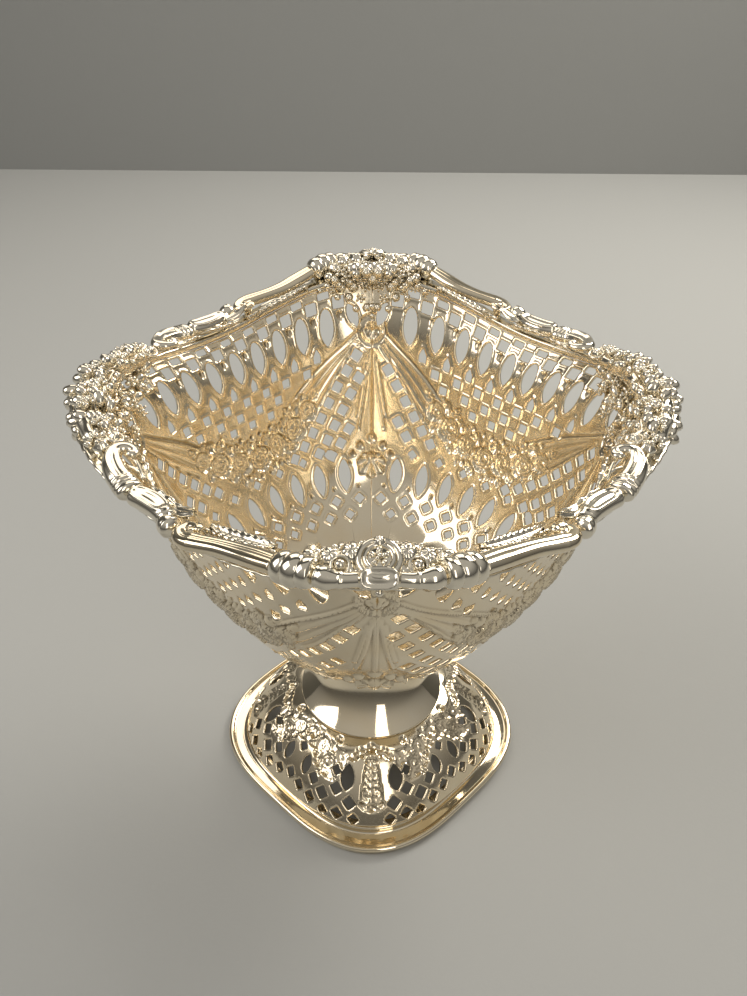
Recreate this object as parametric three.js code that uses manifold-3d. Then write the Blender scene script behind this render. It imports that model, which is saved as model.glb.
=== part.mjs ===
// A pierced silver bonbon basket on a spreading pierced foot.
// Millimetres, +Z up, origin under the middle of the foot. The four corners lie on the X and Y axes.

import * as THREE from "three";
import { mergeVertices } from "three/addons/utils/BufferGeometryUtils.js";
import Module from "manifold-3d";

const wasm = await Module();
wasm.setup();

// Driving dimensions of the foot, from the table up.
const FLANGE_HEIGHT = 4.2; // inner edge of the flange, under the dome
const FLANGE_WIDTH = 6.9; // from the dome's lower edge out to the edge of the foot
const REST_WIDTH = 1.6; // flat ring that the foot stands on
const FOOT_SQUARENESS = 0.055; // how far the plan leaves a circle toward a soft square
const DOME_RISE = 17.2; // height of the pierced dome
const DOME_WIDTH = 17.5; // from the neck's edge out to the dome's lower edge
const DOME_SQUARENESS = 0.035;
const DOME_WALL = 1;
const NECK_HEIGHT = 29.4;
const NECK_RADIUS = 9.8; // at the top, under the bowl
const NECK_FLARE_RADIUS = 22; // at the bottom, on the dome
const NECK_WALL = 1.2;

// Driving dimensions of the bowl.
const BOWL_HEIGHT = 71; // from the flat middle's underside to the mean height of the top edge
const CORNER_RADIUS = 68.3; // axis to the top edge of the wall, at a corner
const WALL = 1.2; // sheet thickness
const BOWL_SQUARENESS = 0.05;
const RIM_WAVE = 2.9; // how far the rim rises at a corner and falls between corners
const CORNER_RISE = 1.3; // the near and far corners stand higher than the left and right ones

// Driving dimensions of the border. Lengths run along the rim, from a near or far corner.
const BAND_THICKNESS = 1.8; // strip that carries the cast border
const BAND_WIDTH = 5.8;
const SHORT_SPRAY_LENGTH = 19; // flowers over a near or far corner
const COLLAR_LENGTH = 7;
const COLLAR_RADIUS = 3.1;
const COLLAR_REACH = 6; // how far outside the wall's edge the collars stand
const ROD_LENGTH = 27;
const ROD_RADIUS = 2.1;
const ROD_RISE = 0.2; // how far the rods stand above the strip
const SPOON_LENGTH = 16.5;
const SPOON_RADIUS = 2.9;
const SCROLL_LENGTH = 17;
const SCROLL_RADIUS = 2;
const LEAF_LENGTH = 15;
const LEAF_WIDTH = 4.4;
const LEAF_THICKNESS = 1.2;
const FLOWER_RADIUS = 4.6; // the middle flower of a spray
const FLOWER_REACH = 5; // flowers' places outside and inside the wall's top edge
const SHORT_SPRAY_RISE = 1.6; // the near and far flowers stand higher
const SOLDER_GAP = 0.4; // clearance left between pieces that are soldered together
const PIECE_GAP = 1; // clearance between neighbouring castings along the rim

// Piercing.
const OVALS_PER_SIDE = 9;
const OVAL_WIDTH = 4.2;
const OVAL_HEIGHT = 10.2;
const LOWER_OVALS_PER_SIDE = 7;
const LOWER_OVAL_WIDTH = 3.8;
const LOWER_OVAL_HEIGHT = 10;
const SQUARE = 2.9; // side of a small square hole
const SMALL_SQUARE = 2.5;
const TENT_SQUARES = 5; // squares down each side of a corner panel
const FOOT_OVALS_PER_SIDE = 6;
const FOOT_OVAL_WIDTH = 3.6;
const FOOT_OVAL_HEIGHT = 6.6;

// Raised work on the sheets.
const ROSES_PER_SIDE = 7; // swag of roses between two corner panels
const ROSE_RADIUS = 4;
const ROSE_RISE = 1.5; // how far a rose stands out of the sheet
const SWAG_SPREAD = 45; // degrees from the first rose to the last
const SWAG_LEVEL = 0.463; // height of the middle rose, as a share of the bowl's
const SWAG_LIFT = 0.12; // how much higher the end roses hang
const PENDANT_RADIUS = 5.6; // shell that hangs under a corner panel
const PENDANT_LEVEL = 0.34;
const FOOT_ROSE_RADIUS = 4;
const FOOT_ROSE_RISE = 1.4;
const FOOT_ROSE_APART = 0.29; // angle from the corner, as a share of a quarter
const FOOT_ROSE_LEVEL = 0.36; // distance down the dome, as a share
const HUSK_LENGTH = 12; // string of husks down each corner of the dome
const HUSK_WIDTH = 4.4;
const RAISED_SINK = 0.5; // how far raised work reaches into its sheet

const CORNERS = 4;
const QUARTER = Math.PI / 2;
const RIM_STEPS = 32; // facets round the bowl and its border strip
const DOME_RADIUS = NECK_FLARE_RADIUS + DOME_WIDTH;
const FOOT_RADIUS = DOME_RADIUS + FLANGE_WIDTH;
const DOME_FOOT = FLANGE_HEIGHT + SOLDER_GAP;
const DOME_TOP = DOME_FOOT + DOME_RISE;
const NECK_FOOT = DOME_TOP + 2 * SOLDER_GAP;
const BOWL_BOTTOM = NECK_FOOT + NECK_HEIGHT + SOLDER_GAP;
const BOWL_TOP = BOWL_BOTTOM + BOWL_HEIGHT;

const tau = 2 * Math.PI;
const clamp = THREE.MathUtils.clamp;
const lerp = THREE.MathUtils.lerp;

// Ratio of the plan radius at an angle to the radius at a corner.
function softSquare(angle, squareness) {
  return (1 + squareness * Math.cos(CORNERS * angle)) / (1 + squareness);
}

// The rim rises at the corners. The wave dies out down the wall.
function rimWave(angle, height) {
  const share = clamp((height - BOWL_BOTTOM) / BOWL_HEIGHT, 0, 1);
  const grip = clamp((share - 0.38) / 0.62, 0, 1) ** 2;
  return grip * (RIM_WAVE * Math.cos(CORNERS * angle) - CORNER_RISE * Math.cos(2 * angle));
}

// Corner section of the bowl from the flat middle to the rim, as shares of its radius and height.
const bowlSection = new THREE.SplineCurve(
  [
    [0.176, 0],
    [0.356, 0.051],
    [0.518, 0.149],
    [0.676, 0.299],
    [0.794, 0.535],
    [0.903, 0.859],
    [1, 1],
  ].map(([out, up]) => new THREE.Vector2(out * CORNER_RADIUS, BOWL_BOTTOM + up * BOWL_HEIGHT)),
);

// Where the bowl section reaches a height, found by halving.
function bowlSectionAt(height) {
  let low = 0;
  let high = 1;
  for (let i = 0; i < 30; i++) {
    const middle = (low + high) / 2;
    if (bowlSection.getPoint(middle).y < height) low = middle;
    else high = middle;
  }
  return low;
}

// The plain middle of the bowl is round, and the wall above it is a soft square.
function bowlSquareness(radius) {
  const share = clamp((radius / CORNER_RADIUS - 0.3) / 0.55, 0, 1);
  return BOWL_SQUARENESS * share;
}

// A point of the wall at an angle from +X and a nominal height.
function wallPoint(angle, height) {
  const section = bowlSection.getPoint(bowlSectionAt(height));
  const radius = section.x * softSquare(angle, bowlSquareness(section.x));
  const z = section.y + rimWave(angle, section.y);
  return new THREE.Vector3(radius * Math.cos(angle), radius * Math.sin(angle), z);
}

// Section of the dome from under the neck out to its lower edge.
const domeSection = new THREE.SplineCurve(
  [
    [0, 1],
    [0.28, 0.9],
    [0.55, 0.68],
    [0.8, 0.36],
    [1, 0],
  ].map(([out, up]) => new THREE.Vector2(
    lerp(NECK_FLARE_RADIUS - 2 * NECK_WALL, DOME_RADIUS, out),
    lerp(DOME_FOOT, DOME_TOP, up),
  )),
);

function domePoint(angle, share) {
  const section = domeSection.getPoint(clamp(share, 0, 1));
  const radius = section.x * softSquare(angle, DOME_SQUARENESS);
  return new THREE.Vector3(radius * Math.cos(angle), radius * Math.sin(angle), section.y);
}

// Merges a geometry's corners and drops triangles that have shrunk to a line.
function welded(geometry) {
  const bare = new THREE.BufferGeometry();
  bare.setAttribute("position", geometry.getAttribute("position"));
  if (geometry.index) bare.setIndex(geometry.index);
  const merged = mergeVertices(bare, 1e-4);
  const kept = [];
  const index = merged.index.array;
  for (let i = 0; i < index.length; i += 3) {
    const [a, b, c] = [index[i], index[i + 1], index[i + 2]];
    if (a !== b && b !== c && c !== a) kept.push(a, b, c);
  }
  merged.setIndex(kept);
  if (volume(merged) < 0) {
    for (let i = 0; i < kept.length; i += 3) [kept[i], kept[i + 1]] = [kept[i + 1], kept[i]];
    merged.setIndex(kept);
  }
  return merged;
}

function volume(geometry) {
  const place = geometry.getAttribute("position");
  const corner = (i) => new THREE.Vector3().fromBufferAttribute(place, geometry.index.array[i]);
  let sum = 0;
  for (let i = 0; i < geometry.index.count; i += 3) {
    sum += corner(i).dot(corner(i + 1).cross(corner(i + 2))) / 6;
  }
  return sum;
}

function toSolid(geometry) {
  const closed = welded(geometry);
  return new wasm.Manifold(new wasm.Mesh({
    numProp: 3,
    vertProperties: new Float32Array(closed.getAttribute("position").array),
    triVerts: new Uint32Array(closed.index.array),
  }));
}

function toGeometry(solid) {
  const mesh = solid.getMesh();
  const geometry = new THREE.BufferGeometry();
  geometry.setAttribute("position", new THREE.BufferAttribute(mesh.vertProperties, 3));
  geometry.setIndex(new THREE.BufferAttribute(mesh.triVerts, 1));
  return geometry;
}

function joined(solids) {
  return solids.reduce((sum, solid) => sum.add(solid));
}

// Moves each corner of a geometry.
function bend(geometry, rule) {
  const place = geometry.getAttribute("position");
  const point = new THREE.Vector3();
  for (let i = 0; i < place.count; i++) {
    point.fromBufferAttribute(place, i);
    rule(point);
    place.setXYZ(i, point.x, point.y, point.z);
  }
  return geometry;
}

// A section turned about +Z.
function turned(points, segments) {
  return new THREE.LatheGeometry(points, segments).rotateX(QUARTER);
}

// The line beside a curve, at a distance to its left.
function beside(curve, distance, count, from = 0, to = 1) {
  const points = [];
  for (let i = 0; i <= count; i++) {
    const share = lerp(from, to, i / count);
    const at = curve.getPoint(share);
    const along = curve.getTangent(share);
    points.push(new THREE.Vector2(at.x - along.y * distance, at.y + along.x * distance));
  }
  return points;
}

// A tapered round bar along a path, with pointed or flat ends.
function bar(path, radiusAt, sides, steps) {
  const frames = path.computeFrenetFrames(steps, false);
  const positions = [];
  const index = [];
  for (let i = 0; i <= steps; i++) {
    const at = path.getPointAt(i / steps);
    const radius = radiusAt(i / steps);
    for (let j = 0; j < sides; j++) {
      const turn = (tau * j) / sides;
      const spot = at.clone()
        .addScaledVector(frames.normals[i], radius * Math.cos(turn))
        .addScaledVector(frames.binormals[i], radius * Math.sin(turn));
      positions.push(spot.x, spot.y, spot.z);
    }
  }
  for (let i = 0; i < steps; i++) {
    for (let j = 0; j < sides; j++) {
      const a = i * sides + j;
      const b = i * sides + ((j + 1) % sides);
      index.push(a, b, a + sides, b, b + sides, a + sides);
    }
  }
  const last = steps * sides;
  for (let j = 1; j < sides - 1; j++) {
    index.push(0, j + 1, j);
    index.push(last, last + j, last + j + 1);
  }
  const geometry = new THREE.BufferGeometry();
  geometry.setAttribute("position", new THREE.Float32BufferAttribute(positions, 3));
  geometry.setIndex(index);
  return geometry;
}

// An almond outline, round at the top and pointed at the bottom.
function almond(width, height) {
  const shape = new THREE.Shape();
  shape.moveTo(0, -height / 2);
  shape.lineTo(width * 0.46, -height * 0.08);
  shape.lineTo(width * 0.4, height * 0.3);
  shape.lineTo(0, height / 2);
  shape.lineTo(-width * 0.4, height * 0.3);
  shape.lineTo(-width * 0.46, -height * 0.08);
  return shape;
}

function square(side) {
  const half = side / 2;
  const shape = new THREE.Shape();
  shape.moveTo(-half, -half);
  shape.lineTo(half, -half);
  shape.lineTo(half, half);
  shape.lineTo(-half, half);
  return shape;
}

// Stands a shape on a curved sheet, with its z pointing out of the sheet and its x along it.
function onSheet(geometry, place, pointAt) {
  const [angle, level] = place;
  const step = 1e-3;
  const centre = pointAt(angle, level);
  const across = pointAt(angle + step, level).sub(centre).normalize();
  const rise = pointAt(angle, level + step).sub(centre).normalize();
  const out = new THREE.Vector3().crossVectors(across, rise).normalize();
  if (out.x * centre.x + out.y * centre.y < 0) out.negate();
  const upward = new THREE.Vector3().crossVectors(out, across);
  const frame = new THREE.Matrix4().makeBasis(across, upward, out).setPosition(centre);
  return toSolid(geometry.applyMatrix4(frame));
}

// A cutter through a curved sheet: the outline stands square to the sheet at one place.
function punch(outline, place, turn, pointAt, reach) {
  const geometry = new THREE.ExtrudeGeometry(outline, { depth: reach, bevelEnabled: false });
  geometry.translate(0, 0, -reach / 2);
  geometry.rotateZ(turn);
  return onSheet(geometry, place, pointAt);
}

// A low mound that is raised out of a curved sheet.
function boss(width, height, rise, place, pointAt) {
  const section = [[0, -RAISED_SINK], [1, -RAISED_SINK], [0.64, rise], [0, rise]];
  const points = section.map(([out, up]) => new THREE.Vector2(out, up));
  const mound = turned(points, 5).scale(width / 2, height / 2, 1);
  return onSheet(mound, place, pointAt);
}

// Calls a rule with the angle of each corner.
function eachCorner(rule) {
  for (let corner = 0; corner < CORNERS; corner++) rule(corner * QUARTER);
}

// The bowl: one sheet, raised to a soft square and pierced.
function bowl() {
  const outer = beside(bowlSection, 0, 7);
  const inner = beside(bowlSection, WALL, 7).reverse();
  inner[0].y = BOWL_TOP;
  const floor = new THREE.Vector2(0, BOWL_BOTTOM);
  const section = [floor, ...outer, ...inner, new THREE.Vector2(0, BOWL_BOTTOM + WALL)];
  const sheet = bend(turned(section, RIM_STEPS), (point) => {
    const angle = Math.atan2(point.y, point.x);
    const radius = Math.hypot(point.x, point.y);
    const ratio = softSquare(angle, bowlSquareness(radius));
    point.set(point.x * ratio, point.y * ratio, point.z + rimWave(angle, point.z));
  });
  const raised = joined([toSolid(sheet), ...bowlRoses()]);
  return toGeometry(raised.subtract(joined(bowlPunches())));
}

// A swag of roses between the corner panels, and a pendant under each panel.
function bowlRoses() {
  const raised = [];
  const level = (share) => BOWL_BOTTOM + share * BOWL_HEIGHT;
  const add = (radius, angle, share) => {
    raised.push(boss(2 * radius, 2 * radius, ROSE_RISE, [angle, level(share)], wallPoint));
  };
  eachCorner((corner) => {
    add(PENDANT_RADIUS, corner, PENDANT_LEVEL);
    for (let i = 0; i < ROSES_PER_SIDE; i++) {
      const hang = (2 * i) / (ROSES_PER_SIDE - 1) - 1;
      const angle = corner + QUARTER / 2 + THREE.MathUtils.degToRad(SWAG_SPREAD / 2) * hang;
      add(ROSE_RADIUS * (1 - 0.2 * hang * hang), angle, SWAG_LEVEL + SWAG_LIFT * hang * hang);
    }
  });
  return raised;
}

function bowlPunches() {
  const reach = 6 * WALL;
  const punches = [];
  const pitch = QUARTER / (OVALS_PER_SIDE + 2.4);
  const lowerPitch = QUARTER / (LOWER_OVALS_PER_SIDE + 1);
  const level = (share) => BOWL_BOTTOM + share * BOWL_HEIGHT;
  const add = (outline, angle, height, turn) => {
    punches.push(punch(outline, [angle, height], turn, wallPoint, reach));
  };
  const row = (outline, count, share, turn) => (corner) => {
    const first = corner + (QUARTER - pitch * (count - 1)) / 2;
    for (let i = 0; i < count; i++) add(outline, first + i * pitch, level(share), turn);
  };
  const rows = [
    row(almond(OVAL_WIDTH, OVAL_HEIGHT), OVALS_PER_SIDE, 0.872, 0),
    row(square(SQUARE), OVALS_PER_SIDE + 1, 0.955, 0),
    row(square(SMALL_SQUARE), OVALS_PER_SIDE - 1, 0.778, QUARTER / 2),
    row(square(SMALL_SQUARE), OVALS_PER_SIDE - 2, 0.726, 0),
    row(square(SMALL_SQUARE), OVALS_PER_SIDE - 3, 0.675, 0),
  ];
  eachCorner((corner) => {
    for (const pierce of rows) pierce(corner);
    for (let i = 0; i < TENT_SQUARES; i++) {
      const apart = QUARTER * (0.055 + 0.038 * i);
      const height = level(0.756 - 0.064 * i);
      add(square(SQUARE), corner + apart, height, QUARTER / 3);
      add(square(SQUARE), corner - apart, height, -QUARTER / 3);
    }
    for (let i = 0; i < LOWER_OVALS_PER_SIDE; i++) {
      const angle = corner + (i + 1) * lowerPitch;
      add(almond(LOWER_OVAL_WIDTH, LOWER_OVAL_HEIGHT), angle, level(0.285), 0.1);
    }
  });
  return punches;
}

// How far the strip reaches out from the wall: widest under the corner flowers.
function bandReach(angle) {
  return BAND_WIDTH * (0.85 + 0.25 * Math.cos(CORNERS * angle));
}

// A point of the border, measured out from the wall's top edge and up from the strip's top.
function borderPoint(angle, out, up) {
  const edge = wallPoint(angle, BOWL_TOP);
  const radius = Math.hypot(edge.x, edge.y) + out;
  const z = edge.z + SOLDER_GAP + BAND_THICKNESS + up;
  return new THREE.Vector3(radius * Math.cos(angle), radius * Math.sin(angle), z);
}

// The strip on the wall's top edge that the castings are soldered to.
function rimBand() {
  const low = SOLDER_GAP;
  const high = SOLDER_GAP + BAND_THICKNESS;
  const section = [[-0.35, low], [0.4, low], [1, low + 0.5], [1, high - 0.4], [0.5, high], [-0.35, high]];
  const points = section.map(([out, up]) => new THREE.Vector2(CORNER_RADIUS + out, up));
  points.push(points[0].clone());
  return welded(bend(turned(points, RIM_STEPS), (point) => {
    const angle = Math.atan2(point.y, point.x);
    const out = (Math.hypot(point.x, point.y) - CORNER_RADIUS) * bandReach(angle);
    const place = borderPoint(angle, out, point.z - high);
    point.copy(place);
  }));
}

// A quarter of the border runs from the far corner on +Y to the right corner on +X. It is laid
// out once, in millimetres along the rim, then mirrored to the other three quarters.
const collarStart = SHORT_SPRAY_LENGTH / 2 + PIECE_GAP;
const rodStart = collarStart + COLLAR_LENGTH + PIECE_GAP;
const spoonStart = rodStart + ROD_LENGTH + PIECE_GAP;
const scrollStart = spoonStart + SPOON_LENGTH + PIECE_GAP;
const scrollEnd = scrollStart + SCROLL_LENGTH;
const borderRadius = CORNER_RADIUS * softSquare(QUARTER / 4, BOWL_SQUARENESS) + BAND_WIDTH / 2;
const longSprayLength = 2 * (borderRadius * QUARTER - scrollEnd - PIECE_GAP);

function quarterPoint(along, out, up) {
  return borderPoint(QUARTER - along / borderRadius, out, up);
}

function quarterPath(places) {
  return new THREE.CatmullRomCurve3(places.map(([along, out, up]) => quarterPoint(along, out, up)));
}

// Ribbed collar that the rod comes out of.
function collar() {
  const half = COLLAR_LENGTH / 2;
  const ribs = [0.78, 1, 0.86, 1, 0.86, 1, 0.78];
  const points = ribs.map((share, i) => new THREE.Vector2(
    COLLAR_RADIUS * share,
    lerp(-half, half, i / (ribs.length - 1)),
  ));
  const section = [new THREE.Vector2(0, -half), ...points, new THREE.Vector2(0, half)];
  const up = COLLAR_RADIUS + ROD_RISE + SOLDER_GAP;
  const start = quarterPoint(collarStart, COLLAR_REACH, up);
  const end = quarterPoint(rodStart, COLLAR_REACH, up);
  const frame = new THREE.Object3D();
  frame.position.copy(start).lerp(end, 0.5);
  frame.quaternion.setFromUnitVectors(new THREE.Vector3(0, 1, 0), end.sub(start).normalize());
  frame.updateMatrix();
  return new THREE.LatheGeometry(section, 10).applyMatrix4(frame.matrix);
}

// Long plain rod that leaves the collar, swells and curls in at its outer end.
function rod() {
  const up = ROD_RADIUS + ROD_RISE + SOLDER_GAP;
  const fat = (share) => ROD_RADIUS * (0.82 + 0.32 * share);
  const reach = ROD_LENGTH - fat(1);
  const swing = ROD_RADIUS * 1.8;
  const path = quarterPath([
    [rodStart + SOLDER_GAP, COLLAR_REACH, up + 0.6],
    [rodStart + 0.17 * reach, 0.55 * COLLAR_REACH, up + 0.3],
    [rodStart + 0.42 * reach, 0.7 * swing, up],
    [rodStart + 0.68 * reach, 0.9 * swing, up - 0.2],
    [rodStart + 0.9 * reach, swing, up - 0.3],
    [rodStart + reach, 0.4 * swing, up - 0.2],
    [rodStart + 0.93 * reach, -0.3 * swing, up],
  ]);
  return bar(path, fat, 7, 16);
}

// Acanthus leaf that lies along the inner side of the rod.
function leaf() {
  const lobes = 4;
  const start = -LEAF_LENGTH / 2;
  const swell = (i) => (LEAF_WIDTH / 2) * Math.sin((Math.PI * (i + 0.5)) / lobes);
  const outline = new THREE.Shape();
  outline.moveTo(start, 0);
  for (let i = 0; i < lobes; i++) {
    outline.lineTo(start + ((i + 0.7) * LEAF_LENGTH) / lobes, -swell(i));
    if (i < lobes - 1) outline.lineTo(start + ((i + 1) * LEAF_LENGTH) / lobes, -swell(i) * 0.6);
  }
  outline.lineTo(-start, 0);
  for (let i = lobes - 1; i >= 0; i--) {
    outline.lineTo(start + ((i + 0.7) * LEAF_LENGTH) / lobes, swell(i));
    if (i > 0) outline.lineTo(start + (i * LEAF_LENGTH) / lobes, swell(i - 1) * 0.6);
  }
  const geometry = new THREE.ExtrudeGeometry(outline, { depth: LEAF_THICKNESS, bevelEnabled: false });
  const middle = rodStart + ROD_LENGTH * 0.45;
  const edge = -ROD_RADIUS - LEAF_WIDTH / 2;
  return bend(geometry, (point) => {
    point.copy(quarterPoint(middle + point.x, edge + point.y, 4 * SOLDER_GAP + point.z));
  });
}

// Spoon-shaped scroll, fattest near its round outer end.
function spoon() {
  const up = SPOON_RADIUS + SOLDER_GAP;
  const path = quarterPath([
    [spoonStart, 0.3 * SPOON_RADIUS, up],
    [spoonStart + 0.28 * SPOON_LENGTH, 0.7 * SPOON_RADIUS, up],
    [spoonStart + 0.64 * SPOON_LENGTH, 0.83 * SPOON_RADIUS, up],
    [spoonStart + SPOON_LENGTH, 0.35 * SPOON_RADIUS, up + 0.2],
  ]);
  const fat = (share) => SPOON_RADIUS * (0.45 + 0.55 * Math.sin(share * 1.9)) * roundEnd(share);
  return bar(path, fat, 8, 12);
}

// Closes a bar's far end in a round nose.
function roundEnd(share) {
  const into = clamp((share - 0.8) / 0.2, 0, 1);
  return Math.sqrt(1 - 0.9 * into * into);
}

// Open C-scroll between the spoon and the long spray.
function scroll() {
  const up = SCROLL_RADIUS + SOLDER_GAP;
  const fat = (share) => SCROLL_RADIUS * (0.85 + 0.3 * Math.sin(Math.PI * share));
  const reach = SCROLL_LENGTH - 1.1 * SCROLL_RADIUS;
  const path = quarterPath([
    [scrollStart, 0.3 * SCROLL_RADIUS, up],
    [scrollStart + 0.28 * reach, 0.9 * SCROLL_RADIUS, up],
    [scrollStart + 0.6 * reach, 1.2 * SCROLL_RADIUS, up + 0.2],
    [scrollStart + 0.9 * reach, 0.7 * SCROLL_RADIUS, up + 0.5],
    [scrollStart + reach, -0.8 * SCROLL_RADIUS, up + 0.8],
    [scrollStart + 0.8 * reach, -2.1 * SCROLL_RADIUS, up + 1],
    [scrollStart + 0.55 * reach, -1.5 * SCROLL_RADIUS, up + 0.9],
  ]);
  return bar(path, fat, 6, 16);
}

// A bunch of open flowers over a corner: one row outside, one row turned in to the bowl.
function spray(middle, length, rise) {
  const room = (length - 1.8 * FLOWER_RADIUS) / borderRadius;
  const flowers = Math.max(3, Math.floor((room * borderRadius) / (2.15 * FLOWER_RADIUS)) + 1);
  const outer = spread(middle, room, flowers).flatMap(([angle, share]) => {
    const size = FLOWER_RADIUS * lerp(1, 0.8, share);
    return flower(borderPoint(angle, FLOWER_REACH * (1 - 0.4 * share), size * 0.85 + rise), size, 1);
  });
  const inner = spread(middle, room, flowers - 1).flatMap(([angle, share]) => {
    const size = FLOWER_RADIUS * lerp(0.95, 0.85, share);
    return flower(borderPoint(angle, -FLOWER_REACH, size * 0.55), size, -1);
  });
  return toGeometry(joined([flowerBed(middle, room, rise / 2), ...outer, ...inner]));
}

// Angles across a corner, each with its distance from the middle as a share.
function spread(middle, reach, count) {
  const places = [];
  for (let i = 0; i < count; i++) {
    const share = i / (count - 1) - 0.5;
    places.push([middle + share * reach, Math.abs(2 * share)]);
  }
  return places;
}

// The broad round-edged bed under a bunch's two rows of flowers.
function flowerBed(middle, reach, rise) {
  const cap = 0.8 * FLOWER_RADIUS;
  const bed = new THREE.CapsuleGeometry(1, (reach * borderRadius) / cap, 2, 8, 4).rotateZ(QUARTER);
  const high = 0.5 * FLOWER_RADIUS;
  return toSolid(bend(bed, (point) => {
    const angle = middle + (point.x * cap) / borderRadius;
    point.copy(borderPoint(angle, FLOWER_REACH * point.y, SOLDER_GAP + high + rise + high * point.z));
  }));
}

// An open flower of five petals. It faces up and out (side 1) or up and in (side -1).
function flower(centre, size, side) {
  const petals = 5;
  const face = new THREE.Vector3(centre.x, centre.y, 0).normalize().multiplyScalar(side * 0.6).setZ(0.8);
  const turn = new THREE.Quaternion().setFromUnitVectors(new THREE.Vector3(0, 0, 1), face);
  const cup = new THREE.CylinderGeometry(size, size * 0.5, size * 0.6, 2 * petals).rotateX(QUARTER);
  const blossom = bend(cup, (point) => {
    const swell = Math.cos(petals * Math.atan2(point.y, point.x));
    const reach = 0.91 + 0.09 * swell;
    point.set(point.x * reach, point.y * reach, point.z - size * 0.2);
  });
  const bead = new THREE.SphereGeometry(size * 0.42, 5, 3).rotateX(QUARTER);
  return [blossom, bead].map((geometry) => {
    geometry.applyQuaternion(turn).translate(centre.x, centre.y, centre.z);
    return toSolid(geometry);
  });
}

// Plain trumpet neck between the bowl and the dome.
function neck() {
  const low = NECK_FOOT;
  const top = NECK_FOOT + NECK_HEIGHT;
  const curve = new THREE.SplineCurve(
    [[0, 1], [0.04, 0.78], [0.2, 0.46], [0.52, 0.19], [1, 0]].map(([out, up]) => new THREE.Vector2(
      lerp(NECK_RADIUS, NECK_FLARE_RADIUS, out),
      lerp(low, top, up),
    )),
  );
  const outer = beside(curve, 0, 7);
  const inner = beside(curve, -NECK_WALL, 7, 0, 0.985).reverse();
  inner[0].y = low;
  inner[inner.length - 1].y = top;
  return welded(turned([...outer, ...inner, outer[0].clone()], 24));
}

// Pierced dome of the foot.
function dome() {
  const outer = beside(domeSection, 0, 4);
  const inner = beside(domeSection, -DOME_WALL, 4).reverse();
  inner[0].y = DOME_FOOT;
  const section = [...outer, ...inner, outer[0].clone()];
  const sheet = bend(turned(section, 32), (point) => {
    const ratio = softSquare(Math.atan2(point.y, point.x), DOME_SQUARENESS);
    point.set(point.x * ratio, point.y * ratio, point.z);
  });
  const raised = joined([toSolid(sheet), ...domeRoses()]);
  return toGeometry(raised.subtract(joined(domePunches())));
}

// A string of husks down each corner, and roses between the corners.
function domeRoses() {
  const raised = [];
  eachCorner((corner) => {
    raised.push(boss(HUSK_WIDTH, HUSK_LENGTH, FOOT_ROSE_RISE, [corner, 0.62], domePoint));
    for (const side of [1, -1]) {
      const place = [corner + side * FOOT_ROSE_APART * QUARTER, FOOT_ROSE_LEVEL];
      raised.push(boss(2 * FOOT_ROSE_RADIUS, 2 * FOOT_ROSE_RADIUS, FOOT_ROSE_RISE, place, domePoint));
    }
  });
  return raised;
}

function domePunches() {
  const reach = 6 * DOME_WALL;
  const pitch = QUARTER / FOOT_OVALS_PER_SIDE;
  const punches = [];
  const add = (outline, angle, share, turn) => {
    punches.push(punch(outline, [angle, share], turn, domePoint, reach));
  };
  eachCorner((corner) => {
    for (let i = 0; i < FOOT_OVALS_PER_SIDE; i++) {
      const angle = corner + (i + 0.5) * pitch;
      add(almond(FOOT_OVAL_WIDTH, FOOT_OVAL_HEIGHT), angle, 0.58, 0);
      if (i % 2 === 1) add(square(SQUARE), corner + i * pitch, 0.82, QUARTER / 2);
    }
  });
  return punches;
}

// Dished plain flange with a rolled edge and a flat ring to stand on.
function flange() {
  const edge = FOOT_RADIUS;
  const inside = DOME_RADIUS - 2 * DOME_WALL;
  const shelf = DOME_RADIUS + DOME_WALL;
  const dish = shelf + (edge - REST_WIDTH - shelf) * 0.5;
  const section = [
    [inside, FLANGE_HEIGHT * 0.75],
    [inside, FLANGE_HEIGHT],
    [shelf, FLANGE_HEIGHT],
    [dish, FLANGE_HEIGHT * 0.46],
    [edge - REST_WIDTH, FLANGE_HEIGHT * 0.48],
    [edge - REST_WIDTH / 2, FLANGE_HEIGHT * 0.7],
    [edge, FLANGE_HEIGHT * 0.42],
    [edge - REST_WIDTH / 4, 0],
    [edge - REST_WIDTH * 1.25, 0],
    [dish, FLANGE_HEIGHT * 0.22],
    [shelf, FLANGE_HEIGHT * 0.66],
  ].map(([out, up]) => new THREE.Vector2(out, up));
  section.push(section[0].clone());
  return welded(bend(turned(section, RIM_STEPS), (point) => {
    const ratio = softSquare(Math.atan2(point.y, point.x), FOOT_SQUARENESS);
    point.set(point.x * ratio, point.y * ratio, point.z);
  }));
}

function silver(colour, roughness) {
  return new THREE.MeshStandardMaterial({ color: colour, roughness, metalness: 1 });
}

const POLISHED = 0.12;
const CHASED = 0.22;
const basket = new THREE.Group();

function piece(name, geometry, material) {
  const mesh = new THREE.Mesh(geometry, material);
  mesh.name = name;
  basket.add(mesh);
}

piece("bowl", bowl(), silver(0xe6dcc6, CHASED));
piece("rim_band", rimBand(), silver(0xdccfb4, CHASED));
piece("foot_neck", neck(), silver(0xe9e1d0, POLISHED));
piece("foot_dome", dome(), silver(0xe2d7c0, CHASED));
piece("foot_flange", flange(), silver(0xe9e1d0, POLISHED));

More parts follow.
